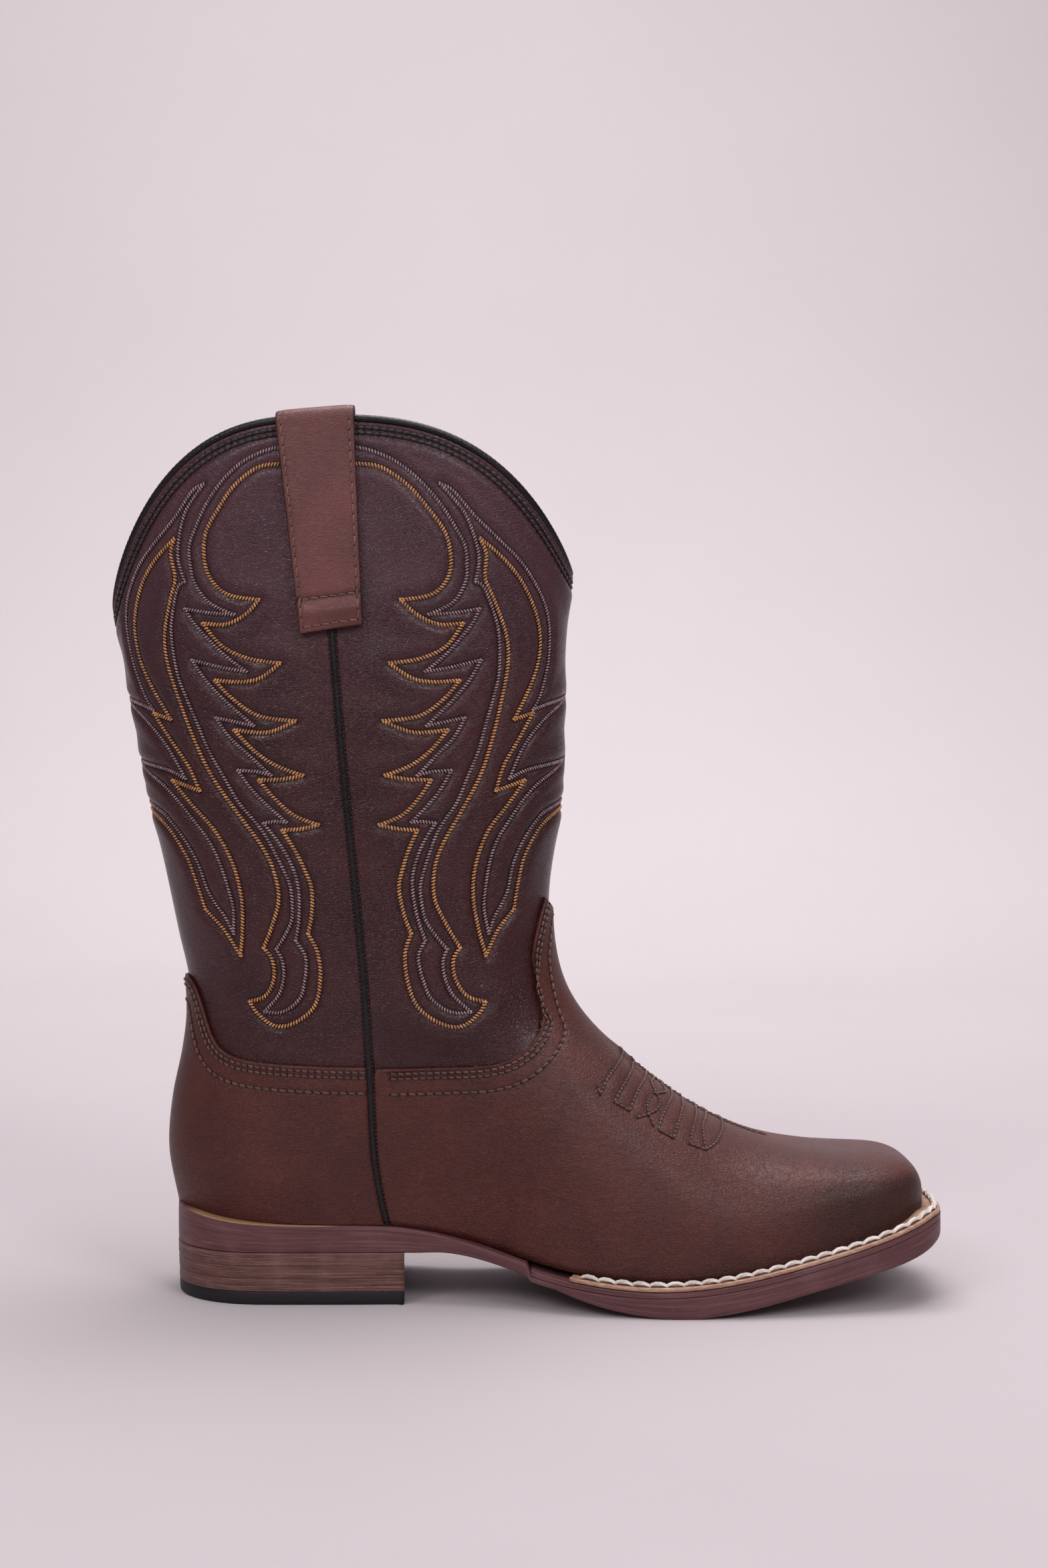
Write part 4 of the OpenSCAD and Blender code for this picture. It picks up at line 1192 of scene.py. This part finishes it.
def make_heel_counter():
    rows, cols = 91, 161
    raised = LAYER_GAP + VAMP_T
    base, normal = band_grid(BACK, lambda k: heel_edge_z(k) + 0.5, heel_collar_z, cols, rows, raised)
    marks = collar_stitching("counter", base[-1], normal[-1], base[-4], Skin(base), leg_axis)
    shift, pull = sewn(base, marks, 0.38, 0.95, 0.12, 4.0)
    outer = base + normal * (shift[..., None] - EDGE_ROUND * last_rows(rows, 1.0))
    points, faces = shell(outer, base - normal * VAMP_T)
    # Its shade mark is painted shade along the stitch grooves.
    stand_in("heel_counter", points, faces, "foot_leather", shade=outer_only(0.8 * pull))


def make_vamp_lining():
    rings = np.concatenate([0.06 + 0.24 * np.linspace(0, 1, 14), np.linspace(0.32, 2, 90)])
    make_lining("vamp_lining", *foot_sheet(VAMP_LINING, rings, np.linspace(-1, 1, 101)))


# ---- Pull straps ----
STRAP_W, STRAP_END_W, STRAP_T, STRAP_LOW_Z = 29.0, 23.5, 1.6, 251.0
STRAP_OFF, CROWN_R, STRAP_TILT, CROWN_LEAN = 1.9, 2.7, 0.15, 0.08
CROWN_Z = PEAK_Z + 1.3
LEG_SHORTER = 10.0     # the loop's inner leg ends this much higher than its outer leg
# Along the outer leg from its low end: rows of stitches, the padded end and the crease above it.
END_ROW, PAD_AT, CREASE_AT, EDGE_ROW_TOP, CHANNEL_TOP = 2.0, 6.5, 12.0, 76.0, 82.0
STRAP_ROW, STRAP_PITCH = 1.9, 3.8
# Two points in metres in the row frame. Given as blend, they only make piece bake the strap's transform.
STRAP_BLEND = (((62 + ORIGIN[0]) * 0.001, 0, 0.266), ((57 + ORIGIN[0]) * 0.001, 0, 0.322))


def strap_station(u):
    """Offset from the skin and height of the loop's inner face, and its outward direction."""
    outer_leg, crown = CROWN_Z - STRAP_LOW_Z, np.pi * CROWN_R
    inner_leg = outer_leg - LEG_SHORTER
    d = u * (outer_leg + crown + inner_leg)
    turn = np.clip((d - outer_leg) / CROWN_R, 0, np.pi)
    off = STRAP_OFF - CROWN_R * (1 - np.cos(turn))
    down = np.maximum(0, d - outer_leg - crown)
    z = np.minimum(STRAP_LOW_Z + d, CROWN_Z) + CROWN_R * np.sin(turn) - down
    return off, z, np.cos(turn), np.sin(turn)


def strap_points(u, j, side, thick):
    """A point of the strap: u along the loop, j across it from -1 to 1."""
    off, z, out, up = strap_station(u)
    off, z = off + thick * out, z + thick * up
    rise = np.clip((z - STRAP_LOW_Z) / (CROWN_Z - STRAP_LOW_Z), 0, 1)
    across = mix(STRAP_END_W, STRAP_W, rise) * j / 2
    on_seam = np.minimum(z, CROWN_Z) + STRAP_TILT * across * (1 - rise)
    x = curve(SEAM_LINE, on_seam) + across
    y = side * (skin_h(x, on_seam, side) + off)
    climb = CROWN_LEAN * across * ease((z - 285) / (CROWN_Z - 285))
    return np.stack([x, y, np.where(z > CROWN_Z, z, on_seam) + climb], -1)


def strap_relief(up, j):
    """The strap's thickness and darkening: a padded end, the crease above it and the stitch channels; the
    darkening is painted shade in that crease and the channels, and dye on the cut edges.
    """
    in_channel = np.exp(-((STRAP_W / 2 * (1 - abs(j)) - STRAP_ROW) / 0.8) ** 2) * (up < CHANNEL_TOP)
    crease = np.exp(-((up - CREASE_AT) / 0.9) ** 2)
    pad = 1.5 * np.exp(-((up - PAD_AT) / 3.2) ** 2) * (1 - j ** 6)
    eased = STRAP_T * (1 - 0.35 * np.exp(-((1 - abs(j)) / 0.05) ** 2))
    thick = eased + pad - 0.6 * crease - 0.22 * in_channel - 0.4 * np.exp(-(up / 0.6) ** 2)
    rim = np.exp(-((1 - abs(j)) / 0.035) ** 2)
    # Painted shade in the crease and the stitch channels; the darker rim is the cut edges' dye.
    dark = 0.25 * in_channel + 0.8 * np.exp(-((up - CREASE_AT) / 0.8) ** 2) + 0.9 * rim
    return thick, np.clip(dark, 0, 1)


def strap_rows(side, length):
    """Stitch rows along both edges of the outer leg, and two across its padded end."""
    rows = []
    for edge_j in (-1 + 2 * STRAP_ROW / STRAP_W, 1 - 2 * STRAP_ROW / STRAP_W):
        line_u = np.linspace(END_ROW, EDGE_ROW_TOP, 200) / length
        rows.append(evenly(strap_points(line_u, edge_j + 0 * line_u, side, STRAP_T), STRAP_PITCH))
    cross_j = np.linspace(-0.86, 0.86, 60)
    for height in (END_ROW, CREASE_AT):
        rows.append(evenly(strap_points(height / length + 0 * cross_j, cross_j, side, STRAP_T), 3.4))
    return rows


def make_pull_strap(side):
    """A loop of leather over the top of the side seam, with its stitching."""
    word = SIDES[side]
    where = {"body": f"{word}_strap", "blend": STRAP_BLEND}
    length = (CROWN_Z - STRAP_LOW_Z) * 2 - LEG_SHORTER + np.pi * CROWN_R
    u, j = np.broadcast_arrays(np.linspace(0, 1, 201)[:, None], np.linspace(-1, 1, 49)[None])
    thick, dark = strap_relief(u * length, j)
    outer = strap_points(u, j, side, thick)
    points, faces = shell(outer, strap_points(u, j, side, 0 * thick))
    # Its shade mark: painted shade in the crease and stitch channels, and dye on the cut edges.
    stand_in(f"{word}_pull_strap", points, faces, "strap_leather", shade=outer_only(dark), **where)
    skin = Skin(outer)
    laid = [skin.drop(row, leg_axis) for row in strap_rows(side, length)]
    stitch_rows(f"{word}_strap_stitching", laid, 0.3, "tan_thread", length=0.92, lean=0.22,
                **where)


# ---- Bottom: welt, midsole, outsole, heel and footbed ----
def sole_w(x, side):
    toe = round_off(x, SOLE_BEND_X, SOLE_TOE_X, 3.2)
    return side_w(x, side, SOLE_LATERAL, SOLE_MEDIAL) * toe * round_off(HEEL_ROUND - x, 0, HEEL_ROUND, 2.2)


def tread(x):
    return np.where(x < 94, HEEL_Z, curve(TREAD_LINE, x))


def under_welt(x):
    return feather(np.minimum(x, TOE_LIP_X)) - WELT_T - 0.2


def stations(start, end, spacing=2.5):
    """Positions along the sole, close together where it rounds off at the heel and the toe."""
    heel = HEEL_ROUND * (1 - np.cos(np.linspace(0.02, np.pi / 2, 22))) if start <= 0 else []
    turn = np.sin(np.linspace(0, np.pi / 2 - 0.02, 26)) ** 0.9
    toe = mix(SOLE_BEND_X, SOLE_TOE_X, turn) if end > SOLE_BEND_X else [end]
    low = HEEL_ROUND if start <= 0 else start
    high = min(SOLE_BEND_X, end)
    middle = np.arange(low + (spacing if start <= 0 else 0), high, spacing)
    return np.concatenate([heel, middle, toe])


def closed_plan(xs, lateral, medial):
    """A plan from its half widths: up the lateral side and back down the medial one."""
    return np.stack([np.concatenate([xs, xs[::-1]]), np.concatenate([-lateral, medial[::-1]])], -1)


def outline(xs, trim=0.0):
    return closed_plan(xs, sole_w(xs, LATERAL) - trim, sole_w(xs, MEDIAL) - trim)


def inward_of(plan):
    along = unit(np.roll(plan, -1, 0) - np.roll(plan, 1, 0))
    return np.stack([-along[:, 1], along[:, 0]], -1)


def layer(plan, low, high, profile):
    """A layer of the sole, and its points' levels. The profile's steps are (inset, rise from 0 to 1)."""
    inward = inward_of(plan)
    foot, head = low(plan[:, 0]), high(plan[:, 0])
    rings = [np.column_stack([plan + inset * inward, mix(foot, head, rise)]) for inset, rise in profile]
    levels = [np.full(len(plan), rise * (head - foot).mean()) for inset, rise in profile]
    return np.concatenate(rings), tube_faces(len(rings), len(plan)), np.concatenate(levels)


def rounded_profile(edge=0.5, steps=8, ripple=0.0):
    """Side of a layer with both corners eased, and fine ridges if asked."""
    middle = [(ripple * random.uniform(0, 1), t) for t in np.linspace(0.14, 0.86, steps)]
    low = [(edge * 3, 0), (edge, 0), (edge * 0.3, 0.04)]
    return low + middle + [(inset, 1 - rise) for inset, rise in low[::-1]]


WELT_ROW, WELT_PITCH = 2.3, 6.3
STRAND_R, STRAND_SWING, STRAND_BOW = 0.55, 0.7, 1.15     # the strands of a welt stitch


def make_welt():
    """The welt's strip, with its outer edge eased and a channel under the stitches."""
    xs = stations(WELT_X, SOLE_TOE_X, 2.0)
    plan = outline(xs)
    inward = inward_of(plan)
    inward[0], inward[-1] = inward[1], inward[-2]
    z = feather(np.minimum(plan[:, 0], TOE_LIP_X))
    profile = [(9.0, -WELT_T), (0.7, -WELT_T), (0.3, -1.35), (0.2, -0.8), (0.3, -0.3), (0.6, 0), (1.2, 0.05),
               (1.9, -0.15), (2.8, -0.15), (3.6, 0.05), (9.0, 0)]
    rings = np.stack([np.concatenate([plan + inset * inward, (z + up)[:, None]], 1)
                      for inset, up in profile], 1)
    faces = tube_faces(*rings.shape[:2])
    stand_in("welt", rings.reshape(-1, 3), faces, "welt")

    line = np.concatenate([plan + WELT_ROW * inward, (z + 0.1)[:, None]], 1)[2:-2]
    thread_piece("welt_stitches", braid(evenly(line, WELT_PITCH)), LOOKS["white_thread"], "white_thread")


def braid(points):
    """Heavy stitches, each of four strands that twist across it from hole to hole."""
    a, b = points[:-1], points[1:]
    up = np.tile([0.0, 0.0, 1.0], (len(a), 1))
    along = unit(b - a)
    across = unit(np.cross(along, up))
    strands = []
    for turn in range(4):
        side, height = np.cos(turn * np.pi / 2), np.sin(turn * np.pi / 2)
        start = a - along * 0.5 + across * STRAND_SWING * side + up * (0.1 + 0.35 * height)
        end = b + along * 0.5 - across * STRAND_SWING * height + up * 0.35 * side
        strands.append(beads(start, end, up, STRAND_R, 0.9, STRAND_BOW))
    return strands


def make_midsole():
    plan = outline(stations(MIDSOLE_X + 2, SOLE_TOE_X))
    points, faces, level = layer(plan, lambda x: under_welt(x) - MIDSOLE_T, under_welt,
                                 rounded_profile(0.35, 6, 0.05))
    stand_in("midsole", points, faces, "sole_leather", level=level)


PALE_RISE, PALE_FROM, PALE_TO = 0.97, 4, 66     # the unpainted line at the top of the heel seat


def make_outsole():
    """The outsole, whose top edge shows as a pale line round the heel seat."""
    xs = stations(0, SOLE_TOE_X, 2.0)
    plan = outline(xs)

    def high(x):
        step = under_welt(x) - MIDSOLE_T - 0.1
        return np.where(x < MIDSOLE_X + 1, feather(x) + 0.35, step)

    def low(x):
        return np.minimum(tread(x), high(x) - 2)

    profile = [(1.2, 0), (0.45, 0), (0.12, 0.06), (0, 0.25), (0.04, 0.5), (0, 0.7), (0.05, 0.9),
               (0.1, 0.965), (0.12, 0.97), (0.3, 1), (1.4, 1)]
    points, faces, level = layer(plan, low, high, profile)
    pale = np.concatenate([np.full(len(plan), float(rise >= PALE_RISE)) for inset, rise in profile])
    pale = pale * ease((points[:, 0] - PALE_FROM) / 8) * ease((PALE_TO - points[:, 0]) / 10)
    stand_in("outsole", points, faces, "sole_leather", shade=pale, level=level + 5)


def heel_plan(trim):
    """Plan of the heel. The breast slants, so its inner end lies further back."""
    plan = outline(stations(0, BREAST_X - trim, 3.0), trim) + [[trim, 0]]
    plan[:, 0] = np.minimum(plan[:, 0], BREAST_X - BREAST_SLANT * (plan[:, 1] > 0))
    return plan


def make_heel():
    lift_t = (HEEL_Z - CAP_T) / LIFTS
    for i, word in enumerate(("lower", "middle", "upper")):
        low = CAP_T + i * lift_t
        trim = 0.5 * (LIFTS - 1 - i) / LIFTS
        profile = rounded_profile(0.16, 12, 0.1)
        points, faces, _ = layer(heel_plan(trim), lambda x: low + 0 * x,
                                 lambda x: low + lift_t - 0.02 + 0 * x, profile)
        stand_in("heel_lift_" + word, points, faces, "heel_stack")
    profile = [(1.6, 0), (0.7, 0), (0.15, 0.1), (0, 0.3), (0, 0.9), (0.15, 1), (1.5, 1)]
    points, faces, _ = layer(heel_plan(0.5), lambda x: 0 * x, lambda x: CAP_T - 0.02 + 0 * x, profile)
    stand_in("heel_cap", points, faces, "cap_rubber")


FOOTBED_XS = 9, 30, 250, 278.5     # back end, length of the heel's round, start of the toe's, toe


def make_footbed():
    """A soft footbed, slightly cupped at the heel, with eased edges."""
    back, heel, bend, toe = FOOTBED_XS
    xs = np.concatenate([back + heel * (1 - np.cos(np.linspace(0, np.pi / 2, 18))),
                         np.linspace(back + heel + 3, bend, 90),
                         mix(bend, toe, np.sin(np.linspace(0.05, np.pi / 2, 16)))])
    plan = closed_plan(xs, *(np.maximum(0.8, skin_h(xs, feather(xs) + 5, side) - SHAFT_T - LINING_T - 3.2)
                             for side in SIDES))
    profile = [(1.5, 0), (0.3, 0), (0, 0.2), (0, 0.6), (0.5, 0.9), (1.6, 1), (4.0, 0.97)]
    points, faces, _ = layer(plan, lambda x: feather(x) + 4.1, lambda x: feather(x) + 8.0, profile)
    stand_in("footbed", points, faces, "footbed")


def dress_hidden_nodes():
    """Puts a proper material on the CAD nodes that stay as they are."""
    slots = {"toe_puff": "stiffener", "heel_stiffener": "stiffener", "insole_board": "board",
             "heel_seat_pad": "board", "cork_filler": "cork", "shank": "spring_steel",
             "shank_rivets": "spring_steel", "heel_nails": "spring_steel"}
    for node, look in slots.items():
        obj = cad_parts[node]
        for material_slot in obj.material_slots:
            material_slot.material = LOOKS[look]


make_camera()
make_stage()
make_world()
make_lights()
for is_front in (True, False):
    make_shaft_panel(is_front)
    make_shaft_lining(is_front)
    make_top_bead(is_front)
make_vamp()
make_heel_counter()
make_vamp_lining()
for strap_side in SIDES:
    make_seam_piping(strap_side)
    make_pull_strap(strap_side)
make_welt()
make_midsole()
make_outsole()
make_heel()
make_footbed()
dress_hidden_nodes()
